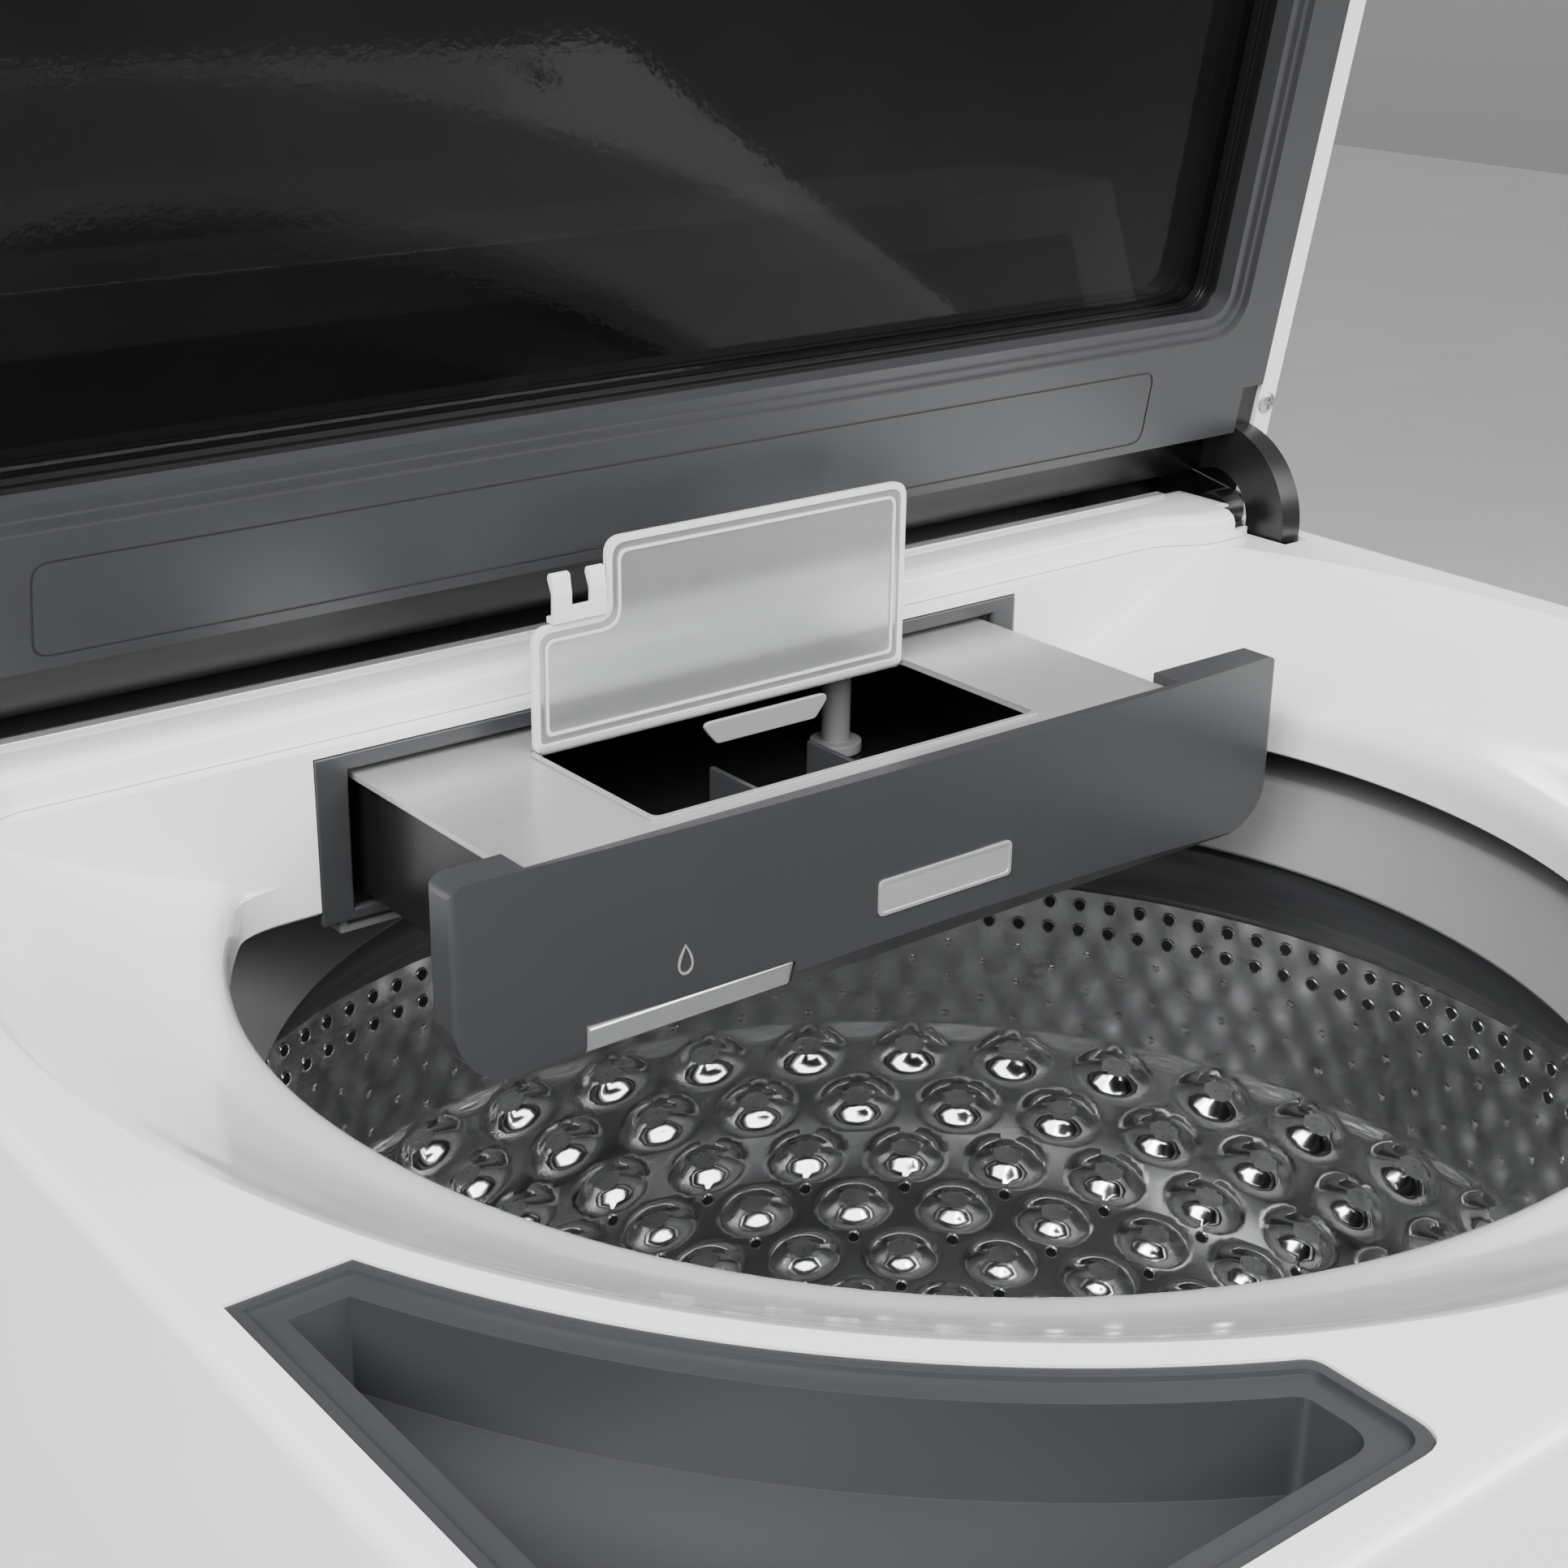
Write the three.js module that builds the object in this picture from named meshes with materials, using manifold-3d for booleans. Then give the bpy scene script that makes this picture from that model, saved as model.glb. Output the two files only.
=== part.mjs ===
// Top load washing machine: cabinet, dished top with a pull-out detergent drawer, glass lid, console,
// and the wash unit that hangs inside. Millimetres, +Z up, front towards -Y, origin on the floor under
// the centre of the cabinet. The lid is modelled closed and then opened; the drawer is out, its flap up.
import * as THREE from "three";
import { mergeVertices } from "three/addons/utils/BufferGeometryUtils.js";
import Module from "manifold-3d";

const wasm = await Module();
wasm.setup();

// ---- driving dimensions ----
const WIDTH = 692; // cabinet, side to side
const DEPTH = 706; // cabinet, front to back
const TOP = 935; // flat rim of the top panel above the floor
const GAP = 0.3; // between pieces that touch
const SHEET = 2.5; // steel sheet of the cabinet
const MOULD = 4; // wall of the top panel
const FOOT_HEIGHT = 22; // underside of the base above the floor
const SKIRT = 45; // height of the top panel's outer skirt

const DRUM_Y = -13; // axis of the wash unit
const THROAT_R = 243; // round opening in the top panel
const DISH_R = 325; // outer edge of the dish around the opening
const THROAT_DEPTH = 62; // lower end of the throat wall
const BASKET_R = 286; // inside of the wash basket
const TUB_R = 304; // inside of the outer tub
const BASKET_TOP = TOP - 163;
const BASKET_FLOOR = 300;
const TUB_FLOOR = 240;

const WALL_Y = 137; // flat wall at the back of the opening, where the drawer comes out
const DRAWER_X = 6; // middle of the drawer
const HANDLE_X = 21; // middle of the drawer's handle, which reaches further to the right
const FLAP_Y = 120; // hinge line of the drawer's flap
const FLAP_Z = TOP - 14.5;
const FLAP_LENGTH = 77;

const HINGE_Y = 159; // lid hinge axis
const HINGE_Z = TOP + 5;
const LID_OPEN = 80; // degrees from closed to open
const LID_FRONT = -342;
const LID_THICK = 36; // top of the closed lid above the rim

const CONSOLE_FRONT = 208;
const CONSOLE_HEIGHT = 145;
const FACE_TILT = 21; // console face, degrees back from upright

const HALF_W = WIDTH / 2;
const HALF_D = DEPTH / 2;
const rad = THREE.MathUtils.degToRad;

// ---- solids ----
function solid(geometry) {
  const bare = geometry.index ? geometry.toNonIndexed() : geometry.clone();
  bare.deleteAttribute("normal");
  bare.deleteAttribute("uv");
  const merged = mergeVertices(bare, 1e-3);
  const mesh = new wasm.Mesh({
    numProp: 3,
    vertProperties: merged.attributes.position.array,
    triVerts: new Uint32Array(merged.index.array),
  });
  return new wasm.Manifold(mesh);
}

function geometryOf(body) {
  const mesh = body.getMesh();
  const geometry = new THREE.BufferGeometry();
  geometry.setAttribute("position", new THREE.BufferAttribute(mesh.vertProperties, 3));
  geometry.setIndex(new THREE.BufferAttribute(mesh.triVerts, 1));
  const flat = geometry.toNonIndexed();
  flat.computeVertexNormals();
  return flat;
}

// A box from its lowest to its highest corner.
function block(x0, x1, y0, y1, z0, z1) {
  const box = new THREE.BoxGeometry(x1 - x0, y1 - y0, z1 - z0);
  return solid(box.translate((x0 + x1) / 2, (y0 + y1) / 2, (z0 + z1) / 2));
}

// An upright cylinder.
function post(x, y, radius, z0, z1, sides = 20) {
  const cylinder = new THREE.CylinderGeometry(radius, radius, z1 - z0, sides);
  return solid(cylinder.rotateX(Math.PI / 2).translate(x, y, (z0 + z1) / 2));
}

// A cylinder along Y.
function spigot(x, z, radius, y0, y1, sides = 20) {
  const cylinder = new THREE.CylinderGeometry(radius, radius, y1 - y0, sides);
  return solid(cylinder.translate(x, (y0 + y1) / 2, z));
}

// A cylinder along X.
function crossPin(y, z, radius, x0, x1, sides = 20) {
  const cylinder = new THREE.CylinderGeometry(radius, radius, x1 - x0, sides);
  return solid(cylinder.rotateZ(Math.PI / 2).translate((x0 + x1) / 2, y, z));
}

// A profile of [radius, height] points turned about the wash unit's axis.
function turned(profile, sides = 40, x = 0, y = DRUM_Y) {
  const points = profile.map(([r, z]) => new THREE.Vector2(r, z));
  if (THREE.ShapeUtils.isClockWise(points)) points.reverse();
  const lathe = new THREE.LatheGeometry([...points, points[0]], sides);
  return solid(lathe.rotateX(Math.PI / 2).translate(x, y, 0));
}

// An outline in X and Y, pushed up from z0 to z1.
function plate(shape, z0, z1, curveSegments = 5) {
  const depth = z1 - z0;
  const raised = new THREE.ExtrudeGeometry(shape, { depth, bevelEnabled: false, curveSegments });
  return solid(raised.translate(0, 0, z0));
}

// An outline in Y and Z, pushed along X from x0 to x1.
function rail(shape, x0, x1, curveSegments = 8) {
  const depth = x1 - x0;
  const raised = new THREE.ExtrudeGeometry(shape, { depth, bevelEnabled: false, curveSegments });
  const turn = new THREE.Matrix4().makeBasis(
    new THREE.Vector3(0, 1, 0),
    new THREE.Vector3(0, 0, 1),
    new THREE.Vector3(1, 0, 0),
  );
  return solid(raised.applyMatrix4(turn).translate(x0, 0, 0));
}

function roundedRect(x0, x1, y0, y1, r) {
  const s = new THREE.Shape();
  s.moveTo(x0 + r, y0);
  s.lineTo(x1 - r, y0);
  s.absarc(x1 - r, y0 + r, r, -Math.PI / 2, 0);
  s.lineTo(x1, y1 - r);
  s.absarc(x1 - r, y1 - r, r, 0, Math.PI / 2);
  s.lineTo(x0 + r, y1);
  s.absarc(x0 + r, y1 - r, r, Math.PI / 2, Math.PI);
  s.lineTo(x0, y0 + r);
  s.absarc(x0 + r, y0 + r, r, Math.PI, Math.PI * 1.5);
  return s;
}

function outline(points) {
  return new THREE.Shape(points.map(([a, b]) => new THREE.Vector2(a, b)));
}

// ---- materials ----
function finish(color, roughness, metalness = 0, extra = {}) {
  return new THREE.MeshStandardMaterial({ color, roughness, metalness, ...extra });
}

const looks = {
  white: finish(0xf2f3f4, 0.18),
  enamel: finish(0xeeeff0, 0.25),
  charcoal: finish(0x3c3e40, 0.45),
  satin: finish(0xb9bbbc, 0.4, 0.3),
  black: finish(0x0c0c0d, 0.5),
  steel: finish(0xb4b6b8, 0.22, 1),
  zinc: finish(0x9a9da0, 0.45, 1),
  glass: finish(0x2a2c2e, 0.05, 0, { transparent: true, opacity: 0.5 }),
  frosted: finish(0xdcdedf, 0.35, 0, { transparent: true, opacity: 0.6 }),
  grey: finish(0x8b8e90, 0.5),
  rubber: finish(0x151515, 0.9),
  bright: finish(0xd6d8da, 0.15, 1),
  board: finish(0x1f4a33, 0.6),
  copper: finish(0x8c5a33, 0.4, 0.8),
};

const machine = new THREE.Group();
const lid = new THREE.Group();
const flap = new THREE.Group();
const controls = new THREE.Group();

function add(parent, name, body, look) {
  const mesh = new THREE.Mesh(geometryOf(body), look);
  mesh.name = name;
  parent.add(mesh);
}

// ---- cabinet ----
const CABINET_TOP = TOP - SKIRT - GAP;
const ROD_XY = 278; // suspension rods, from the wash unit's axis
const ROD_TOP = 812;

function rodPlaces() {
  const places = [];
  for (const [side, x] of [["left", -ROD_XY], ["right", ROD_XY]])
    for (const [end, y] of [["front", DRUM_Y - ROD_XY], ["rear", DRUM_Y + ROD_XY]])
      places.push({ name: `${end}_${side}`, x, y });
  return places;
}

function cabinetShell() {
  const bottom = FOOT_HEIGHT + 2;
  const outside = roundedRect(-HALF_W, HALF_W, -HALF_D, HALF_D + 40, 18);
  const inside = roundedRect(-HALF_W + SHEET, HALF_W - SHEET, -HALF_D + SHEET, HALF_D + 40, 15.5);
  const wrap = plate(outside, bottom, CABINET_TOP).subtract(plate(inside, bottom - 1, CABINET_TOP + 1));
  let body = wrap.subtract(block(-400, 400, HALF_D - SHEET - GAP, HALF_D + 60, 0, TOP));
  for (const { x, y } of rodPlaces()) {
    const sideX = Math.sign(x);
    const wallX = sideX * (HALF_W - SHEET / 2);
    const inX = x - sideX * 20;
    const brace = block(Math.min(inX, wallX), Math.max(inX, wallX), y - 32, y + 32, 794, 800);
    body = body.add(brace.subtract(post(x, y, 6, 780, 810, 12)));
  }
  return body;
}

const PORTS_Z = TOP - 92;
const INLET_X = [-205, -165];
const DRAIN = { x: 190, z: TOP - 110, r: 17 };
const GLAND = { x: 255, z: TOP - 92, r: 9 };

function rearPanel() {
  const y0 = HALF_D - SHEET;
  let body = block(-HALF_W, HALF_W, y0, HALF_D, FOOT_HEIGHT + 2, CABINET_TOP);
  for (const x of INLET_X) body = body.subtract(spigot(x, PORTS_Z, 15, y0 - 1, HALF_D + 1));
  body = body.subtract(spigot(DRAIN.x, DRAIN.z, DRAIN.r + 2, y0 - 1, HALF_D + 1));
  body = body.subtract(spigot(GLAND.x, GLAND.z, GLAND.r + GAP, y0 - 1, HALF_D + 1));
  return body;
}

const FOOT_XY = 298;

function baseFrame() {
  const w = HALF_W - SHEET - GAP;
  const d = HALF_D - SHEET - GAP;
  const top = FOOT_HEIGHT + 16;
  let body = plate(roundedRect(-w, w, -d, d - GAP, 15), FOOT_HEIGHT, top, 4);
  body = body.subtract(block(-w + 60, w - 60, -d + 60, -30, 0, 100));
  body = body.subtract(block(-w + 60, w - 60, 30, d - 60, 0, 100));
  for (const x of [-FOOT_XY, FOOT_XY])
    for (const y of [-FOOT_XY, FOOT_XY]) body = body.subtract(post(x, y, 6.4, 0, 100, 12));
  return body;
}

function footAt(x, y) {
  const profile = [[0, 0], [20, 0], [22, 3], [22, 9], [12, 12], [12, 21.7], [6, 21.7], [6, 48], [0, 48]];
  return turned(profile, 16, x, y);
}

add(machine, "cabinet_shell", cabinetShell(), looks.enamel);
add(machine, "rear_panel", rearPanel(), looks.zinc);
add(machine, "base_frame", baseFrame(), looks.zinc);
for (const [side, x] of [["left", -FOOT_XY], ["right", FOOT_XY]])
  for (const [end, y] of [["front", -FOOT_XY], ["rear", FOOT_XY]])
    add(machine, `foot_${end}_${side}`, footAt(x, y), looks.rubber);

// ---- top panel ----
const BRACKET_X = [302, 316.5]; // hinge bracket, from the middle of the machine
const ARM_X = [319.5, 331.5]; // lid hinge arm
const CUP = { left: -335, front: -340, right: -160, back: -150, r: 333 };
const STRIKE = { x: 265, y: -310 };

function bleachOutline(grow) {
  const left = CUP.left - grow;
  const front = CUP.front - grow;
  const right = CUP.right + grow;
  const back = CUP.back + grow;
  const r = CUP.r - grow;
  const start = Math.atan2(-Math.sqrt(r * r - right * right), right);
  const endX = -Math.sqrt(r * r - (back - DRUM_Y) ** 2);
  const end = Math.atan2(back - DRUM_Y, endX);
  const s = new THREE.Shape();
  s.moveTo(left, back);
  s.lineTo(left, front);
  s.lineTo(right, front);
  s.absarc(0, DRUM_Y, r, start, end, true);
  s.lineTo(left, back);
  return s;
}

// The dish above the throat, as the solid that is cut away, down to floor height z0.
function dishCut(shift, z0) {
  const t = TOP - shift;
  return turned(
    [
      [0, z0], [THROAT_R + shift, z0], [THROAT_R + shift, t - 47], [THROAT_R + 4 + shift, t - 41],
      [THROAT_R + 14, t - 36], [THROAT_R + 36, t - 26], [THROAT_R + 60, t - 12], [DISH_R - 8, t - 3.5],
      [DISH_R, t], [DISH_R, TOP + 5], [0, TOP + 5],
    ],
    48,
  );
}

function topPanel() {
  const bottom = TOP - SKIRT;
  const wall = TOP - THROAT_DEPTH;
  const rearOfWall = block(-400, 400, WALL_Y, 400, wall - 1, TOP + 6);
  const skin = plate(roundedRect(-HALF_W, HALF_W, -HALF_D, HALF_D, 16), bottom, TOP);
  const drumR = THROAT_R + MOULD;
  const throat = turned([[0, wall], [drumR, wall], [drumR, TOP - 20], [0, TOP - 20]], 48);
  let body = skin.add(throat.subtract(block(-400, 400, WALL_Y + MOULD, 400, 0, TOP)));
  body = body.subtract(dishCut(0, wall - 1).subtract(rearOfWall));
  // hollow underside: skirt and throat wall stay
  const w = HALF_W - MOULD;
  const d = HALF_D - MOULD;
  const hollow = plate(roundedRect(-w, w, -d, d, 12), bottom - 1, TOP - MOULD);
  const keep = dishCut(MOULD, wall - 2).subtract(block(-400, 400, WALL_Y + MOULD, 400, wall - 3, TOP + 6));
  body = body.subtract(hollow.subtract(keep));
  // drawer opening in the back wall
  const way = 167.3;
  body = body.subtract(block(DRAWER_X - way, DRAWER_X + way, WALL_Y - 5, WALL_Y + 10, wall - 2, TOP - 3.2));
  // hinge slots
  for (const side of [-1, 1]) {
    const inner = side * (BRACKET_X[0] - 2);
    const arm = side * (ARM_X[0] - 2);
    const outer = side * (ARM_X[1] + 2);
    body = body.subtract(block(Math.min(inner, outer), Math.max(inner, outer), 147, 206, wall, TOP + 5));
    body = body.subtract(block(Math.min(arm, outer), Math.max(arm, outer), 112, 206, wall, TOP + 5));
  }
  body = body.subtract(plate(bleachOutline(GAP), bottom - 5, TOP + 5));
  body = body.subtract(block(STRIKE.x - 7, STRIKE.x + 7, STRIKE.y - 14, STRIKE.y + 14, bottom, TOP + 5));
  return body;
}

function bleachCup() {
  const body = plate(bleachOutline(0), TOP - 30, TOP - 0.5);
  return body.subtract(plate(bleachOutline(-10), TOP - 27, TOP + 5));
}

function rearTrim() {
  const hood = outline([
    [144, TOP + GAP], [144, TOP + 9], [148, TOP + 13], [172, TOP + 13], [176, TOP + 9], [176, TOP + GAP],
    [174, TOP + GAP], [174, TOP + 8], [171, TOP + 11], [149, TOP + 11], [146, TOP + 8], [146, TOP + GAP],
  ]);
  return rail(hood, -316, 316);
}

add(machine, "top_panel", topPanel(), looks.white);
add(machine, "rear_trim", rearTrim(), looks.white);
add(machine, "bleach_cup", bleachCup(), looks.charcoal);

// ---- console ----
const FACE = { y: CONSOLE_FRONT + 6, z: TOP + 18, length: 134 };
const tiltY = Math.sin(rad(FACE_TILT));
const tiltZ = Math.cos(rad(FACE_TILT));
controls.position.set(0, FACE.y, FACE.z);
controls.rotation.x = -rad(FACE_TILT);

function consoleProfile(inset) {
  const top = TOP + CONSOLE_HEIGHT;
  const lean = inset / tiltZ;
  const faceTopY = FACE.y + (top - FACE.z) * (tiltY / tiltZ);
  const bottom = inset > 0 ? TOP - 5 : TOP + GAP;
  return outline([
    [CONSOLE_FRONT + inset, bottom], [CONSOLE_FRONT + inset, FACE.z - 6],
    [FACE.y + lean, FACE.z], [faceTopY + lean - inset * (tiltY / tiltZ), top - inset],
    [HALF_D - 10 - inset, top - inset], [HALF_D - inset, top - 10 - inset], [HALF_D - inset, bottom],
  ]);
}

function inFace(body) {
  return body.rotate([-FACE_TILT, 0, 0]).translate([0, FACE.y, FACE.z]);
}

function consoleHousing() {
  const wall = 3;
  const hollow = rail(consoleProfile(wall), -HALF_W + wall, HALF_W - wall);
  const shell = rail(consoleProfile(0), -HALF_W, HALF_W).subtract(hollow);
  return shell.subtract(inFace(block(-310, 310, -10, 10, 12, 112)));
}

// Pieces on the console face: local X across, Z up the face, -Y out of it.
const KNOB = { x: 0, z: 62, r: 27 };
const BUTTONS = [
  { name: "power_button", x: -250, w: 34 },
  { name: "option_button_1", x: -190, w: 26 },
  { name: "option_button_2", x: -140, w: 26 },
  { name: "option_button_3", x: -90, w: 26 },
  { name: "start_button", x: 250, w: 44 },
];
const DISPLAY = { x0: 70, x1: 190, z0: 38, z1: 88 };
const BUTTON_HEIGHT = 14;

function consolePanel() {
  let body = block(-310 + GAP, 310 - GAP, 0, 2.5, 12 + GAP, 112 - GAP);
  for (const { x, w } of BUTTONS) {
    const half = w / 2 + 0.6;
    const tall = BUTTON_HEIGHT / 2 + 0.6;
    body = body.subtract(block(x - half, x + half, -5, 5, KNOB.z - tall, KNOB.z + tall));
  }
  body = body.subtract(spigot(KNOB.x, KNOB.z, 6, -5, 5));
  return body.subtract(block(DISPLAY.x0, DISPLAY.x1, -5, 5, DISPLAY.z0, DISPLAY.z1));
}

function button(x, w) {
  const z = KNOB.z;
  return block(x - w / 2, x + w / 2, -2.2, 6, z - BUTTON_HEIGHT / 2, z + BUTTON_HEIGHT / 2);
}

function knob() {
  const stem = spigot(KNOB.x, KNOB.z, 5, -4, 14);
  const skirt = spigot(KNOB.x, KNOB.z, KNOB.r, -7, -0.8, 28);
  const cap = spigot(KNOB.x, KNOB.z, KNOB.r - 4, -20, -6, 28);
  return skirt.add(cap).add(stem);
}

add(machine, "console_housing", consoleHousing(), looks.white);
add(controls, "console_panel", consolePanel(), looks.charcoal);
const lens = block(DISPLAY.x0 + GAP, DISPLAY.x1 - GAP, 0, 2, DISPLAY.z0 + GAP, DISPLAY.z1 - GAP);
add(controls, "console_display", lens, looks.glass);
add(controls, "cycle_knob", knob(), looks.bright);
for (const { name, x, w } of BUTTONS) add(controls, name, button(x, w), looks.satin);
add(controls, "control_board", block(-160, 210, 18, 22, 24, 100), looks.board);

// ---- lid, modelled closed, about its hinge axis ----
const lidTop = TOP + LID_THICK;
const WINDOW = { x: 300, front: -280, back: 61 };
const FRAME_BACK = 118;

function lidShell() {
  const skin = plate(roundedRect(-343, 343, LID_FRONT, 150, 14), TOP + 2, lidTop);
  const pocket = block(-332, 332, LID_FRONT + 11, 160, TOP, lidTop - 3);
  const hole = plate(roundedRect(-WINDOW.x, WINDOW.x, WINDOW.front, WINDOW.back, 24), TOP, lidTop + 5);
  return skin.subtract(pocket).subtract(hole);
}

function lidInnerFrame() {
  const front = LID_FRONT + 11 + GAP;
  let body = block(-331.7, 331.7, front, FRAME_BACK, TOP + 1.5, TOP + 14);
  body = body.subtract(plate(roundedRect(-WINDOW.x, WINDOW.x, WINDOW.front, WINDOW.back, 24), TOP, TOP + 20));
  for (const side of [-1, 1]) {
    const a = side * (ARM_X[0] - 1);
    const b = side * 340;
    body = body.subtract(block(Math.min(a, b), Math.max(a, b), 64, 130, TOP, TOP + 20));
  }
  return body;
}

function windowRing(inner, outer, z0, z1) {
  const grown = (g) => roundedRect(-WINDOW.x - g, WINDOW.x + g, WINDOW.front - g, WINDOW.back + g, 24 + g);
  const ring = plate(grown(outer), z0, z1);
  return inner === null ? ring : ring.subtract(plate(grown(inner), z0 - 1, z1 + 1));
}

// The arm is a strap bent round the hinge axis, so that it slides down its slot as the lid shuts.
const ARM = { inner: 21, outer: 43, hub: 9.5, bore: 5.4 };

function hingeArm(side) {
  const at = (r, deg) => [HINGE_Y + r * Math.cos(rad(deg)), HINGE_Z + r * Math.sin(rad(deg))];
  const strap = new THREE.Shape();
  const lugTop = HINGE_Z + 13;
  const lugBottom = HINGE_Z - 1;
  const endDeg = 328;
  strap.moveTo(66, lugBottom);
  strap.lineTo(HINGE_Y - Math.sqrt(ARM.outer ** 2 - 1), lugBottom);
  strap.absarc(HINGE_Y, HINGE_Z, ARM.outer, Math.PI + Math.asin(1 / ARM.outer), rad(endDeg), false);
  strap.lineTo(...at(ARM.inner, endDeg));
  strap.absarc(HINGE_Y, HINGE_Z, ARM.inner, rad(endDeg), Math.PI - Math.asin(13 / ARM.inner), true);
  strap.lineTo(66, lugTop);
  const x0 = side > 0 ? ARM_X[0] : -ARM_X[1];
  const x1 = x0 + ARM_X[1] - ARM_X[0];
  const spoke = outline([at(4, 280), at(ARM.inner + 4, 296), at(ARM.inner + 4, 326), at(4, 340)]);
  return rail(strap, x0, x1, 14)
    .add(rail(spoke, x0, x1))
    .add(crossPin(HINGE_Y, HINGE_Z, ARM.hub, x0, x1, 20))
    .subtract(crossPin(HINGE_Y, HINGE_Z, ARM.bore, x0 - 1, x1 + 1, 20));
}

function lidStrike() {
  const { x, y } = STRIKE;
  const foot = block(x - 3, x + 3, y - 10, y + 10, TOP - 18, TOP + 1.5 - GAP);
  const eye = block(x - 9, x + 9, y - 5, y + 5, TOP - 13, TOP - 5);
  return foot.subtract(eye);
}

add(lid, "lid_shell", lidShell(), looks.white);
add(lid, "lid_inner_frame", lidInnerFrame(), looks.charcoal);
add(lid, "lid_gasket", windowRing(0, 10, TOP + 14 + GAP, lidTop - 9 - GAP), looks.black);
add(lid, "lid_glass", windowRing(null, 10, lidTop - 9, lidTop - 3 - GAP), looks.glass);
add(lid, "hinge_arm_left", hingeArm(-1), looks.black);
add(lid, "hinge_arm_right", hingeArm(1), looks.black);
add(lid, "lid_strike", lidStrike(), looks.zinc);
for (const piece of lid.children) piece.position.set(0, -HINGE_Y, -HINGE_Z);
lid.position.set(0, HINGE_Y, HINGE_Z);
lid.rotation.x = -rad(LID_OPEN);

// ---- hinge brackets, pins and lid lock ----
function hingeBracket(side) {
  const at = (a, b) => [Math.min(side * a, side * b), Math.max(side * a, side * b)];
  const ear = block(...at(...BRACKET_X), 150, 170, TOP - 25, TOP + 10.6);
  const tab = block(...at(270, BRACKET_X[1]), 150, 170, TOP - 9, TOP - MOULD - GAP);
  return ear.add(tab).subtract(crossPin(HINGE_Y, HINGE_Z, 5.3, -400, 400, 20));
}

function hingePin(side) {
  const near = side * (BRACKET_X[0] + 1);
  const far = side * (ARM_X[1] - 0.3);
  return crossPin(HINGE_Y, HINGE_Z, 5, Math.min(near, far), Math.max(near, far), 20);
}

for (const [name, side] of [["left", -1], ["right", 1]]) {
  add(machine, `hinge_bracket_${name}`, hingeBracket(side), looks.zinc);
  add(machine, `hinge_pin_${name}`, hingePin(side), looks.steel);
}

function lidLock() {
  const { x, y } = STRIKE;
  const caseBody = block(x + 9, x + 45, y - 15, y + 15, TOP - 30, TOP - MOULD - GAP);
  return caseBody.subtract(block(x, x + 38, y - 3.5, y + 3.5, TOP - 12, TOP - 6));
}

const boltBody = block(STRIKE.x + 7, STRIKE.x + 27, STRIKE.y - 3, STRIKE.y + 3, TOP - 11.5, TOP - 6.5);
add(machine, "lid_lock", lidLock(), looks.black);
add(machine, "lid_lock_bolt", boltBody, looks.zinc);

// ---- detergent drawer ----
function dispenserFrame() {
  const outer = block(DRAWER_X - 167, DRAWER_X + 167, WALL_Y, WALL_Y + MOULD, TOP - 67.5, TOP - 3.5);
  return outer.subtract(block(DRAWER_X - 154, DRAWER_X + 154, WALL_Y - 1, WALL_Y + 9, TOP - 63, TOP - 10));
}

function dispenserHousing() {
  const y0 = WALL_Y + MOULD + GAP;
  const outer = block(DRAWER_X - 158, DRAWER_X + 158, y0, 345, TOP - 74, TOP - MOULD - 0.5);
  return outer.subtract(block(DRAWER_X - 155, DRAWER_X + 155, y0 - 1, 342, TOP - 71, TOP - MOULD - 3.5));
}

const TRAY = { half: 148, front: 29, back: 236, top: TOP - 15.3, floor: TOP - 60 };

function drawerTray() {
  const { half, front, back, top, floor } = TRAY;
  const inside = half - 3;
  const outer = block(DRAWER_X - half, DRAWER_X + half, front, back, floor, top);
  return outer.subtract(block(DRAWER_X - inside, DRAWER_X + inside, front + 3, back - 3, floor + 3, top + 1));
}

const WELL = { x0: -83.5, x1: 94.5, y0: 42.5, y1: 122 };

function drawerTop() {
  const sheet = block(DRAWER_X - 151, DRAWER_X + 151, 27.5, 236, TOP - 15, TOP - 12.7);
  return sheet.subtract(block(WELL.x0, WELL.x1, WELL.y0, WELL.y1, TOP - 20, TOP));
}

// The handle's front is bowed; its ends turn back past the drawer's sides and its lower edge is deep.
const HANDLE = { half: 194, ends: 27, middle: 21, top: TOP - 9, bottom: TOP - 82 };

function drawerHandle() {
  const { half, ends, middle, top, bottom } = HANDLE;
  const sag = ends - middle;
  const radius = (half * half + sag * sag) / (2 * sag);
  const sweep = Math.asin(half / radius);
  const face = new THREE.Shape();
  face.absarc(HANDLE_X, middle + radius, radius, -Math.PI / 2 - sweep, -Math.PI / 2 + sweep, false);
  face.lineTo(HANDLE_X + half, 41);
  face.lineTo(HANDLE_X - half, 41);
  let body = plate(face, bottom, top, 24);
  body = body.subtract(block(DRAWER_X - 151.3, DRAWER_X + 151.3, ends + 0.2, 50, TOP - 62, TOP));
  const slot = block(GRIP.x0 - GAP, GRIP.x1 + GAP, 0, 34, bottom - 1, GRIP.top + GAP);
  return body.subtract(slot);
}

const GRIP = { x0: -124, x1: -38, top: TOP - 71 };

function drawerGrip() {
  return block(GRIP.x0, GRIP.x1, 23.5, 34 - GAP, HANDLE.bottom, GRIP.top);
}

add(machine, "dispenser_frame", dispenserFrame(), looks.charcoal);
add(machine, "dispenser_housing", dispenserHousing(), looks.grey);
add(machine, "drawer_tray", drawerTray(), looks.black);
add(machine, "drawer_top", drawerTop(), looks.satin);
add(machine, "drawer_handle", drawerHandle(), looks.charcoal);
add(machine, "drawer_grip", drawerGrip(), looks.bright);

function siphonPost() {
  const foot = TRAY.floor + 3 + GAP;
  return post(82, 146, 6, foot, TOP - 22).add(post(82, 146, 11, foot, TOP - 52));
}

add(machine, "siphon_post", siphonPost(), looks.grey);

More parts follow.
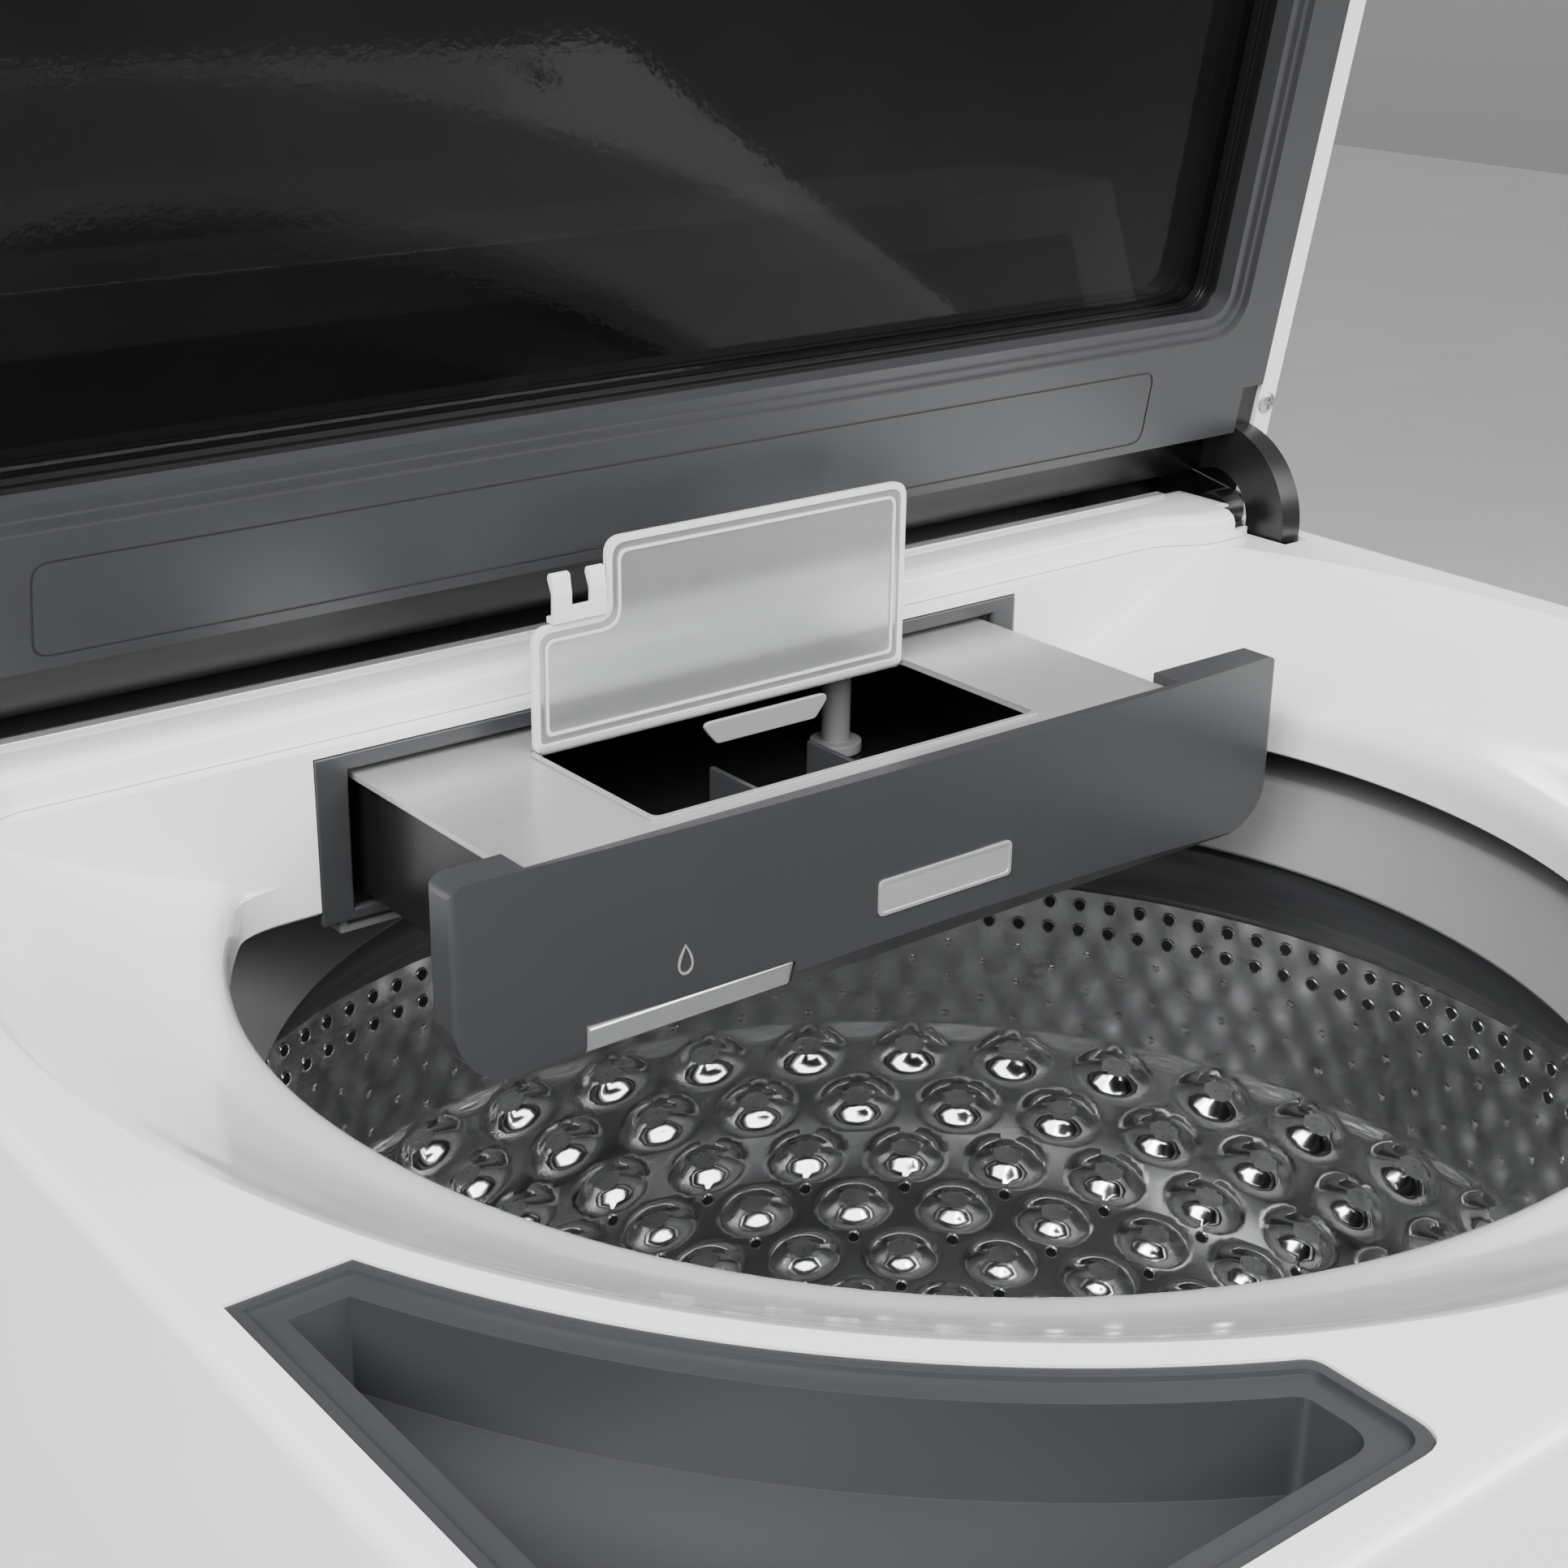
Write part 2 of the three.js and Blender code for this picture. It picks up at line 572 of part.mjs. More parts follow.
// The flap stands up from its hinge line; its left part is shorter and carries the snap clip.
const FLAP = { left: -82, step: -50, right: 93, short: 48.5, thick: 2.4 };

function drawerFlap() {
  const half = FLAP.thick / 2;
  const tall = block(FLAP.step, FLAP.right, -half, half, 0, FLAP_LENGTH);
  return tall.add(block(FLAP.left, FLAP.step + 1, -half, half, 0, FLAP.short));
}

function flapClip() {
  const x0 = FLAP.left + 8;
  const x1 = FLAP.step - GAP;
  const bar = block(x0, x1, -3, 3, FLAP.short + GAP, FLAP.short + 3);
  return bar.add(block(x0, x1 - 12, -3, -1, FLAP.short + GAP, FLAP.short + 20));
}

add(flap, "drawer_flap", drawerFlap(), looks.frosted);
add(flap, "flap_clip", flapClip(), looks.frosted);
flap.position.set(0, FLAP_Y, FLAP_Z);

// ---- wash unit ----
const TUB_TOP = TOP - 128;

function outerTub() {
  const r = TUB_R;
  let body = turned([
    [26, TUB_FLOOR], [r - 20, TUB_FLOOR], [r + 5, TUB_FLOOR + 25], [r + 5, TUB_TOP - GAP], [r, TUB_TOP - GAP],
    [r, TUB_FLOOR + 27], [r - 22, TUB_FLOOR + 5], [26, TUB_FLOOR + 5],
  ]);
  const earZ = TUB_FLOOR + 30;
  const inside = post(0, DRUM_Y, r + 2, 0, TOP, 40);
  for (const { x, y } of rodPlaces()) {
    const reach = new THREE.Vector2(x, y - DRUM_Y).length();
    const arm = block(r - 20, reach + 16, -20, 20, earZ, earZ + 12);
    const ear = arm.subtract(inside.translate([0, -DRUM_Y, 0]));
    const angle = THREE.MathUtils.radToDeg(Math.atan2(y - DRUM_Y, x));
    body = body.add(ear.rotate([0, 0, angle]).translate([0, DRUM_Y, 0]).subtract(post(x, y, 7, 0, TOP, 12)));
  }
  return body;
}

function tubRing() {
  const r = TUB_R;
  return turned([
    [r, TUB_TOP], [r + 5, TUB_TOP], [r + 5, TOP - 78], [258, TOP - 78], [255, TOP - 80], [238, TOP - 109],
    [241, TOP - 110], [259, TOP - 81.5], [r, TOP - 81.5],
  ]);
}

function balanceRing() {
  return turned([
    [248, TOP - 117], [254, TOP - 113], [282, TOP - 108], [288, TOP - 112], [288, BASKET_TOP + GAP],
    [284, BASKET_TOP + GAP], [275, TOP - 156], [258, TOP - 136], [249, TOP - 122],
  ]);
}

function washBasket() {
  const r = BASKET_R;
  return turned([
    [24, BASKET_FLOOR - 3], [r - 30, BASKET_FLOOR - 3], [r - 7, BASKET_FLOOR + 7], [r + 2, BASKET_FLOOR + 30],
    [r + 2, BASKET_TOP], [r, BASKET_TOP], [r, BASKET_FLOOR + 31], [r - 9, BASKET_FLOOR + 9],
    [r - 31, BASKET_FLOOR], [24, BASKET_FLOOR],
  ]);
}

function washPlate() {
  const z = BASKET_FLOOR + 5;
  let body = turned([
    [0, z], [225, z], [232, z + 5], [228, z + 14], [150, z + 18], [70, z + 26], [45, z + 60], [0, z + 66],
  ], 36);
  const fin = outline([
    [40, z + 20], [215, z + 8], [215, z + 16], [170, z + 44], [110, z + 50], [40, z + 54],
  ]);
  const count = 6;
  for (let i = 0; i < count; i++) {
    const blade = rail(fin, -7, 7).rotate([0, 0, (360 / count) * i]).translate([0, DRUM_Y, 0]);
    body = body.add(blade);
  }
  return body;
}

function tube(inner, outer, z0, z1, sides = 28) {
  return turned([[inner, z0], [outer, z0], [outer, z1], [inner, z1]], sides);
}

function spinTube() {
  const flange = tube(16, 23.6, BASKET_FLOOR - 25, BASKET_FLOOR);
  return tube(16, 22, 180, BASKET_FLOOR - 4).add(flange);
}

function motorRotor() {
  return turned([
    [14.4, 98], [120, 98], [126, 104], [126, 168], [120, 168], [120, 108], [114, 103], [14.4, 103],
  ], 32);
}

function motorStator() {
  let body = tube(48, 92, 128, 160, 28);
  const teeth = 12;
  for (let i = 0; i < teeth; i++) {
    const tooth = block(90, 114, -8, 8, 132, 156).rotate([0, 0, (360 / teeth) * i]);
    body = body.add(tooth.translate([0, DRUM_Y, 0]));
  }
  return body;
}

function bearingHousing() {
  return turned([
    [23, 172], [110, 172], [150, 200], [150, 210], [70, TUB_FLOOR - GAP], [23, TUB_FLOOR - GAP],
  ], 28).add(tube(30, 48 - GAP, 126, 173, 28));
}

function suspensionRod(x, y) {
  const earZ = TUB_FLOOR + 30;
  const rod = post(x, y, 4.5, earZ - 72, ROD_TOP, 12);
  const head = post(x, y, 10, 800 + GAP, ROD_TOP, 12);
  const spring = post(x, y, 15, earZ - 62, earZ - GAP, 14);
  const cap = post(x, y, 18, earZ - 66, earZ - 58, 14);
  return rod.add(head).add(spring).add(cap);
}

add(machine, "outer_tub", outerTub(), looks.grey);
add(machine, "tub_ring", tubRing(), looks.grey);
add(machine, "wash_basket", washBasket(), looks.steel);
add(machine, "balance_ring", balanceRing(), looks.charcoal);
add(machine, "spin_tube", spinTube(), looks.steel);
add(machine, "wash_plate", washPlate(), looks.grey);
add(machine, "drive_shaft", post(0, DRUM_Y, 14, 90, BASKET_FLOOR + 4.7, 24), looks.steel);
add(machine, "bearing_housing", bearingHousing(), looks.zinc);
add(machine, "motor_stator", motorStator(), looks.copper);
add(machine, "motor_rotor", motorRotor(), looks.zinc);
for (const { name, x, y } of rodPlaces()) {
  add(machine, `suspension_rod_${name}`, suspensionRod(x, y), looks.zinc);
}

// ---- water and power ----
function drainPump() {
  const baseTop = FOOT_HEIGHT + 16 + GAP;
  const foot = block(150, 230, -24, 24, baseTop, baseTop + 6);
  return foot.add(post(190, 0, 34, baseTop + 5, baseTop + 62, 28)).add(spigot(190, baseTop + 40, 14, 20, 70));
}

function inletValve() {
  const inner = HALF_D - SHEET - GAP;
  let body = block(-225, -145, inner - 32, inner, PORTS_Z - 16, PORTS_Z + 16);
  for (const x of INLET_X) {
    const bore = spigot(x, PORTS_Z, 9, inner - 8, HALF_D + 1);
    const port = spigot(x, PORTS_Z, 12.5, inner - 10, HALF_D).subtract(bore);
    body = body.add(port.subtract(block(-300, 300, 0, inner - 0.1, 0, TOP)));
  }
  return body;
}

function drainPort() {
  const inner = HALF_D - SHEET - GAP;
  const flange = spigot(DRAIN.x, DRAIN.z, DRAIN.r + 7, inner - 5, inner, 24);
  const pipe = spigot(DRAIN.x, DRAIN.z, DRAIN.r, inner - 30, HALF_D, 24);
  return flange.add(pipe).subtract(spigot(DRAIN.x, DRAIN.z, DRAIN.r - 4, inner - 40, HALF_D + 1, 24));
}

function cordGland() {
  const inner = HALF_D - SHEET - GAP;
  const flange = spigot(GLAND.x, GLAND.z, GLAND.r + 5, inner - 4, inner, 20);
  const sleeve = spigot(GLAND.x, GLAND.z, GLAND.r, inner - 12, HALF_D, 20);
  return flange.add(sleeve).subtract(spigot(GLAND.x, GLAND.z, 5, inner - 20, HALF_D + 1, 20));
}

add(machine, "drain_pump", drainPump(), looks.grey);
add(machine, "inlet_valve", inletValve(), looks.grey);
add(machine, "drain_port", drainPort(), looks.black);
add(machine, "cord_gland", cordGland(), looks.black);

machine.add(lid, flap, controls);

export default machine;
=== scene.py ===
import math

import bmesh
import bpy
from mathutils import Matrix, Vector


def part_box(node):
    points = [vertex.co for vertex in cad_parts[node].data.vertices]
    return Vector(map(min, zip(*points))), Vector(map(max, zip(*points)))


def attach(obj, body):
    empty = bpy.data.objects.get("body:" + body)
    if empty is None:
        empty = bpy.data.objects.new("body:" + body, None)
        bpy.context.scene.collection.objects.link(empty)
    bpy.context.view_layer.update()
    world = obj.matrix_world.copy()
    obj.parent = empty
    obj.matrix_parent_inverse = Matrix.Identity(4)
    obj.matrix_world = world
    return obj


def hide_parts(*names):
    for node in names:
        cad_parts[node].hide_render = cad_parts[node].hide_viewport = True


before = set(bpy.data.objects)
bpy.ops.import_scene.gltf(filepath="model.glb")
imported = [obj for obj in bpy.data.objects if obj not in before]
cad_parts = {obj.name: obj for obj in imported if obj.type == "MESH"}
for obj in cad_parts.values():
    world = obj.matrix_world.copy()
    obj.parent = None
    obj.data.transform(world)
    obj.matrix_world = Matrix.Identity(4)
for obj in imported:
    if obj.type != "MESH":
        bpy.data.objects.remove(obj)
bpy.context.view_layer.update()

MM = 0.001

# ---- driving dimensions, millimetres, as the CAD part has them ----
HALF_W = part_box("cabinet_shell")[1].x / MM
HALF_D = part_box("rear_panel")[1].y / MM
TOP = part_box("top_panel")[1].z / MM
CABINET_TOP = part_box("cabinet_shell")[1].z / MM
DRUM_Y = sum(v.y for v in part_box("wash_basket")) / 2 / MM
THROAT_R = 243
DISH_R = 325
BASKET_R = 286
BASKET_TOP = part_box("wash_basket")[1].z / MM
BASKET_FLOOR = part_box("wash_basket")[0].z / MM + 3
WALL_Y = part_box("dispenser_frame")[0].y / MM
HINGE_Y = 159
HINGE_Z = TOP + 5
LID_OPEN = 80
DRAWER_X = sum(v.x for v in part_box("drawer_top")) / 2 / MM
FACE_TILT = 21
FACE_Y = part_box("console_housing")[0].y / MM + 6
FACE_Z = TOP + 18


# ---- materials ----
def new_material(name):
    mat = bpy.data.materials.new(name)
    mat.use_nodes = True
    return mat, mat.node_tree, mat.node_tree.nodes["Principled BSDF"]


def set_inputs(made, **values):
    """Sets inputs of a node. An underscore in a name stands for a space."""
    for key, value in values.items():
        made.inputs[key.replace("_", " ")].default_value = value
    return made


def shader(tree, kind, **values):
    return set_inputs(tree.nodes.new("ShaderNode" + kind), **values)


def noise(tree, scale, detail=3.0, rough=0.55, stretch=(1, 1, 1)):
    coords = shader(tree, "TexCoord")
    mapping = shader(tree, "Mapping", Scale=stretch)
    tex = shader(tree, "TexNoise", Scale=scale, Detail=detail, Roughness=rough)
    tree.links.new(coords.outputs["Object"], mapping.inputs["Vector"])
    tree.links.new(mapping.outputs["Vector"], tex.inputs["Vector"])
    return tex.outputs["Fac"]


def spread(tree, fac, low, high, a=0.3, b=0.7):
    """Maps fac from a to b onto low to high."""
    ranged = shader(tree, "MapRange", From_Min=a, From_Max=b, To_Min=low, To_Max=high)
    tree.links.new(fac, ranged.inputs["Value"])
    return ranged.outputs["Result"]


def blended(tree, fac, dark, light):
    mix = shader(tree, "Mix")
    mix.data_type = "RGBA"
    set_inputs(mix, A=(*dark, 1), B=(*light, 1))
    tree.links.new(fac, mix.inputs["Factor"])
    return mix.outputs["Result"]


def surface(
    name, dark, light, rough=(0.2, 0.3), metallic=0.0, grain=(900, 0.02), cloud=14.0, stretch=(1, 1, 1),
    coat=0.0
):
    """Colour and roughness vary at the scale cloud. grain is the scale and strength of the fine relief."""
    mat, tree, bsdf = new_material(name)
    wide = noise(tree, cloud, 4, 0.6, stretch)
    fine = noise(tree, cloud * 9, 3, 0.5, stretch)
    tree.links.new(blended(tree, spread(tree, wide, 0, 1), dark, light), bsdf.inputs["Base Color"])
    tree.links.new(spread(tree, fine, *rough), bsdf.inputs["Roughness"])
    set_inputs(bsdf, Metallic=metallic, Coat_Weight=coat, Coat_Roughness=0.08)
    bump = shader(tree, "Bump", Strength=grain[1], Distance=0.001)
    tree.links.new(noise(tree, grain[0], 2, 0.5, stretch), bump.inputs["Height"])
    tree.links.new(bump.outputs["Normal"], bsdf.inputs["Normal"])
    return mat


def see_through(name, dark, light, rough, transmission, ior=1.46):
    mat = surface(name, dark, light, rough, grain=(350, 0.03), cloud=8)
    set_inputs(mat.node_tree.nodes["Principled BSDF"], Transmission_Weight=transmission, IOR=ior)
    return mat


def spangled(name, dark, light, rough):
    """Zinc: cells of slightly different grey."""
    mat = surface(name, dark, light, rough, 1.0, (500, 0.05), 20)
    tree = mat.node_tree
    bsdf = tree.nodes["Principled BSDF"]
    coords = shader(tree, "TexCoord")
    cells = shader(tree, "TexVoronoi", Scale=110)
    tree.links.new(coords.outputs["Object"], cells.inputs["Vector"])
    split = shader(tree, "SeparateColor")
    tree.links.new(cells.outputs["Color"], split.inputs["Color"])
    colour = blended(tree, spread(tree, split.outputs["Red"], 0, 1, 0, 1), dark, light)
    tree.links.new(colour, bsdf.inputs["Base Color"])
    return mat


def board_material():
    """Green resin with fine lighter tracks."""
    mat = surface("board", (0.01, 0.09, 0.035), (0.03, 0.17, 0.07), (0.3, 0.45), 0, (300, 0.05), 30)
    tree = mat.node_tree
    bsdf = tree.nodes["Principled BSDF"]
    coords = shader(tree, "TexCoord")
    tracks = shader(
        tree, "TexBrick", Scale=60, Color1=(0.01, 0.10, 0.04, 1), Color2=(0.02, 0.15, 0.06, 1),
        Mortar=(0.20, 0.42, 0.20, 1),
    )
    tree.links.new(coords.outputs["Object"], tracks.inputs["Vector"])
    tree.links.new(tracks.outputs["Color"], bsdf.inputs["Base Color"])
    return mat


MAT = {
    "white_plastic": surface(
        "gloss_white", (0.72, 0.725, 0.73), (0.75, 0.755, 0.76), (0.10, 0.18), 0, (160, 0.010), 4, coat=0.4
    ),
    "white_enamel": surface(
        "enamel", (0.70, 0.705, 0.71), (0.74, 0.745, 0.75), (0.16, 0.26), 0, (420, 0.05), 5, coat=0.25
    ),
    "charcoal_plastic": surface(
        "charcoal", (0.030, 0.031, 0.033), (0.035, 0.036, 0.038), (0.29, 0.33), 0, (900, 0.015), 5
    ),
    "satin_plastic": surface(
        "satin_grey", (0.42, 0.425, 0.43), (0.45, 0.455, 0.46), (0.27, 0.32), 0.5, (700, 0.012), 3,
        (1, 6, 1)
    ),
    "black_plastic": surface(
        "black", (0.005, 0.005, 0.005), (0.007, 0.007, 0.008), (0.27, 0.32), 0, (900, 0.015), 5
    ),
    "stainless_steel": surface(
        "polished_steel", (0.72, 0.725, 0.73), (0.78, 0.785, 0.79), (0.09, 0.13), 1.0, (60, 0.004), 7,
        (1, 1, 5)
    ),
    "zinc_steel": spangled("zinc", (0.40, 0.41, 0.42), (0.47, 0.48, 0.49), (0.34, 0.44)),
    "tinted_glass": see_through(
        "smoked_glass", (0.012, 0.012, 0.013), (0.020, 0.020, 0.021), (0.03, 0.07), 0.8, 1.22
    ),
    "frosted_plastic": see_through("frosted", (0.70, 0.71, 0.72), (0.78, 0.79, 0.80), (0.22, 0.27), 0.85),
    "grey_plastic": surface(
        "mid_grey", (0.17, 0.172, 0.176), (0.20, 0.202, 0.206), (0.30, 0.40), 0, (900, 0.05), 8
    ),
    "foot_rubber": surface(
        "rubber", (0.010, 0.010, 0.010), (0.022, 0.022, 0.022), (0.65, 0.85), 0, (700, 0.20), 40
    ),
    "bright_trim": surface(
        "bright_satin", (0.58, 0.59, 0.60), (0.66, 0.67, 0.68), (0.28, 0.34), 0.7, (900, 0.012), 6,
        (1, 8, 8)
    ),
    "circuit_board": board_material(),
    "motor_copper": surface(
        "winding", (0.26, 0.11, 0.05), (0.42, 0.20, 0.09), (0.28, 0.42), 0.8, (260, 0.5), 90, (1, 1, 6)
    ),
}
# painted shade: a near-black material for discs that stand in for the dark seen through the basket's drain
# holes
PAINTED_HOLE_SHADE = surface("pit", (0.003, 0.003, 0.003), (0.008, 0.008, 0.008), (0.5, 0.7), 0, (400, 0.05), 30)
FLAP_EDGE = see_through("frosted_edge", (0.88, 0.89, 0.90), (0.94, 0.95, 0.96), (0.16, 0.22), 0.35)
ROSETTE = surface(
    "satin_steel", (0.50, 0.505, 0.51), (0.72, 0.725, 0.73), (0.26, 0.40), 1.0, (420, 0.10), 60
)
LAMP = surface("lamp_lens", (0.10, 0.25, 0.30), (0.16, 0.36, 0.42), (0.1, 0.2), 0, (900, 0.03), 30)


# ---- mesh making ----
def raw(name, verts, faces, scale=MM):
    mesh = bpy.data.meshes.new(name)
    mesh.from_pydata([tuple(c * scale for c in v) for v in verts], [], faces)
    obj = bpy.data.objects.new(name, mesh)
    bpy.context.scene.collection.objects.link(obj)
    return obj


def cleaned(obj, bevel=0.0, segments=2, corner=30):
    """Welds, merges flat faces, rounds edges sharper than corner by bevel millimetres, shades by angle."""
    bm = bmesh.new()
    bm.from_mesh(obj.data)
    bmesh.ops.remove_doubles(bm, verts=bm.verts, dist=2e-6)
    bmesh.ops.dissolve_degenerate(bm, dist=1e-6, edges=bm.edges)
    bmesh.ops.recalc_face_normals(bm, faces=bm.faces)
    if bevel:
        bmesh.ops.dissolve_limit(bm, angle_limit=math.radians(0.6), verts=bm.verts, edges=bm.edges)
        sharp = [e for e in bm.edges if e.is_manifold and e.calc_face_angle(0) > math.radians(corner)]
        bmesh.ops.bevel(
            bm, geom=sharp, offset=bevel * MM, segments=segments, profile=0.5, affect="EDGES",
            clamp_overlap=True,
        )
    bm.to_mesh(obj.data)
    bm.free()
    obj.data.shade_smooth()
    obj.data.set_sharp_from_angle(angle=math.radians(32))
    return obj


def dress(obj, slot_name, body, *nodes):
    """Gives a piece its material and the body it rides on, and hides the CAD nodes it stands for."""
    obj.data.materials.clear()
    obj.data.materials.append(MAT[slot_name])
    even = obj.modifiers.new("even_shading", "WEIGHTED_NORMAL")
    even.keep_sharp = True
    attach(obj, body)
    if nodes:
        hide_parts(*nodes)
    return obj


def prism(name, outline, low, high, axis="z"):
    """An outline pushed along an axis. The outline's two numbers are x, y for z; x, z for y; y, z for x."""
    def at(p, h):
        if axis == "z":
            return (p[0], p[1], h)
        if axis == "y":
            return (p[0], h, p[1])
        return (h, p[0], p[1])
    n = len(outline)
    verts = [at(p, low) for p in outline] + [at(p, high) for p in outline]
    faces = [tuple(range(n)), tuple(range(2 * n - 1, n - 1, -1))]
    faces += [(i, i + n, (i + 1) % n + n, (i + 1) % n) for i in range(n)]
    obj = raw(name, verts, faces)
    bm = bmesh.new()
    bm.from_mesh(obj.data)
    bmesh.ops.recalc_face_normals(bm, faces=bm.faces)
    bmesh.ops.triangulate(bm, faces=[f for f in bm.faces if len(f.verts) > 4])
    bm.to_mesh(obj.data)
    bm.free()
    return obj


def box_outline(x0, x1, y0, y1):
    return [(x0, y0), (x1, y0), (x1, y1), (x0, y1)]


def block(name, x0, x1, y0, y1, z0, z1):
    return prism(name, box_outline(x0, x1, y0, y1), z0, z1)


def rounded(points, radius, steps=6):
    """Rounds the corners of an outline. radius is one number or one for each corner."""
    out = []
    n = len(points)
    for i, p in enumerate(points):
        r = radius[i] if isinstance(radius, (list, tuple)) else radius
        here = Vector(p)
        a = (Vector(points[i - 1]) - here)
        b = (Vector(points[(i + 1) % n]) - here)
        turn = a.angle(b)
        if r <= 0 or turn > math.pi - 0.05:
            out.append(tuple(here))
            continue
        back = min(r / math.tan(turn / 2), a.length * 0.48, b.length * 0.48)
        start = here + a.normalized() * back
        end = here + b.normalized() * back
        for k in range(steps + 1):
            t = k / steps
            out.append(tuple(start * (1 - t) ** 2 + here * 2 * t * (1 - t) + end * t * t))
    return out


def rect(x0, x1, y0, y1, r, steps=6):
    return rounded(box_outline(x0, x1, y0, y1), r * 1.15, steps)


def combine(obj, others, operation="DIFFERENCE"):
    """Cuts, joins or intersects with other closed meshes, which are used up."""
    for other in others:
        mod = obj.modifiers.new("op", "BOOLEAN")
        mod.operation = operation
        mod.solver = "MANIFOLD"
        mod.object = other
        bpy.context.view_layer.update()
        graph = bpy.context.evaluated_depsgraph_get()
        mesh = bpy.data.meshes.new_from_object(obj.evaluated_get(graph))
        obj.modifiers.clear()
        obj.data = mesh
        bpy.data.objects.remove(other)
    return obj


def ring_faces(count, n):
    """Quads between count closed sections of n points, the last joined to the first."""
    return [
        (i * n + k, (i + 1) % count * n + k, (i + 1) % count * n + (k + 1) % n, i * n + (k + 1) % n)
        for i in range(count) for k in range(n)
    ]


def sheet_faces(n, m):
    """Quads of a sheet: a front and a back grid of n by m points, and the four edges between them."""
    back = n * m
    faces = []
    for i in range(n - 1):
        for k in range(m - 1):
            a, b = i * m + k, (i + 1) * m + k
            faces += [(a, b, b + 1, a + 1), (back + a, back + a + 1, back + b + 1, back + b)]
    for i in range(n - 1):
        for k in (0, m - 1):
            a, b = i * m + k, (i + 1) * m + k
            faces.append((a, back + a, back + b, b))
    for k in range(m - 1):
        for i in (0, n - 1):
            a = i * m + k
            faces.append((a, a + 1, back + a + 1, back + a))
    return faces


def lathe(name, profile, count=192, x=0, y=None, wave=None):
    """A closed profile of radius and height turned about an upright axis."""
    centre = DRUM_Y if y is None else y
    verts = []
    for i in range(count):
        a = 2 * math.pi * i / count
        for r, z in profile:
            dr = wave(r, z, a) if wave else 0
            verts.append((x + (r + dr) * math.cos(a), centre + (r + dr) * math.sin(a), z))
    return raw(name, verts, ring_faces(count, len(profile)))


def refined(node, slot_name, body, bevel=0.8, segments=2, corner=30):
    """A closer version of a CAD node with its edges rounded."""
    obj = raw(node + "_fine", [], [])
    obj.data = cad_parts[node].data.copy()
    obj.data.name = node + "_fine"
    return dress(cleaned(obj, bevel, segments, corner), slot_name, body, node)


def moved(obj, x, y, z, turn, axis):
    """Turns the mesh about its origin, then shifts it by x, y, z millimetres."""
    obj.data.transform(Matrix.Translation((x * MM, y * MM, z * MM)) @ Matrix.Rotation(turn, 4, axis))
    return obj


def joined(name, objs):
    """One object made of several, which are used up."""
    bm = bmesh.new()
    for o in objs:
        o.data.transform(o.matrix_world)
        bm.from_mesh(o.data)
        bpy.data.objects.remove(o)
    out = raw(name, [], [])
    bm.to_mesh(out.data)
    bm.free()
    return out


def smoothstep(a, b, x):
    t = max(0.0, min(1.0, (x - a) / (b - a)))
    return t * t * (3 - 2 * t)


def curve_at(points, x):
    """A smooth curve through points of x and height."""
    for (x0, y0), (x1, y1) in zip(points, points[1:]):
        if x <= x1:
            i = points.index((x0, y0))
            before = points[max(i - 1, 0)]
            after = points[min(i + 2, len(points) - 1)]
            m0 = (y1 - before[1]) / (x1 - before[0])
            m1 = (after[1] - y0) / (after[0] - x0)
            w = x1 - x0
            t = max(0.0, (x - x0) / w)
            return (
                (2 * t ** 3 - 3 * t * t + 1) * y0 + (t ** 3 - 2 * t * t + t) * w * m0
                + (-2 * t ** 3 + 3 * t * t) * y1 + (t ** 3 - t * t) * w * m1
            )
    return points[-1][1]


def soft_min(a, b, k):
    h = max(k - abs(a - b), 0) / k
    return min(a, b) - h * h * k / 4


# ---- camera, at the photograph's angle ----
def add_camera():
    heading = math.radians(38.31)
    pitch = math.radians(19.99)
    roll = math.radians(0.74)
    ahead = Vector(
        (math.sin(heading) * math.cos(pitch), math.cos(heading) * math.cos(pitch), -math.sin(pitch))
    )
    side = Vector((math.cos(heading), -math.sin(heading), 0))
    up = side.cross(ahead)
    right = side * math.cos(roll) + up * math.sin(roll)
    upward = up * math.cos(roll) - side * math.sin(roll)
    data = bpy.data.cameras.new("camera")
    data.sensor_width = 36
    data.lens = 55.24
    data.shift_x = 0.0081
    data.shift_y = -0.0471
    data.clip_start = 0.05
    cam = bpy.data.objects.new("camera", data)
    turn = Matrix((right, upward, -ahead)).transposed().to_4x4()
    cam.matrix_world = Matrix.Translation((-0.5188, -0.5713, 1.2354)) @ turn
    bpy.context.scene.collection.objects.link(cam)
    bpy.context.scene.camera = cam


add_camera()


# ---- top panel with its dish ----
DISH = [
    (243, -47), (245, -42.5), (249, -39.5), (257, -36), (268, -31.5), (279, -26),
    (291, -19.5), (303, -12.5), (311, -8), (317, -4.2), (321, -1.8), (325, 0),
]


def edge_distance(angle):
    """From the wash unit's axis to the panel's outer edge, a rectangle with rounded corners."""
    r = 16
    c, s = math.cos(angle), math.sin(angle)
    low, high = 0.0, 700.0
    for _ in range(40):
        mid = (low + high) / 2
        dx = abs(mid * c) - (HALF_W - r)
        dy = abs(mid * s + DRUM_Y) - (HALF_D - r)
        d = math.hypot(max(dx, 0), max(dy, 0)) + min(max(dx, dy), 0) - r
        low, high = (mid, high) if d < 0 else (low, mid)
    return low


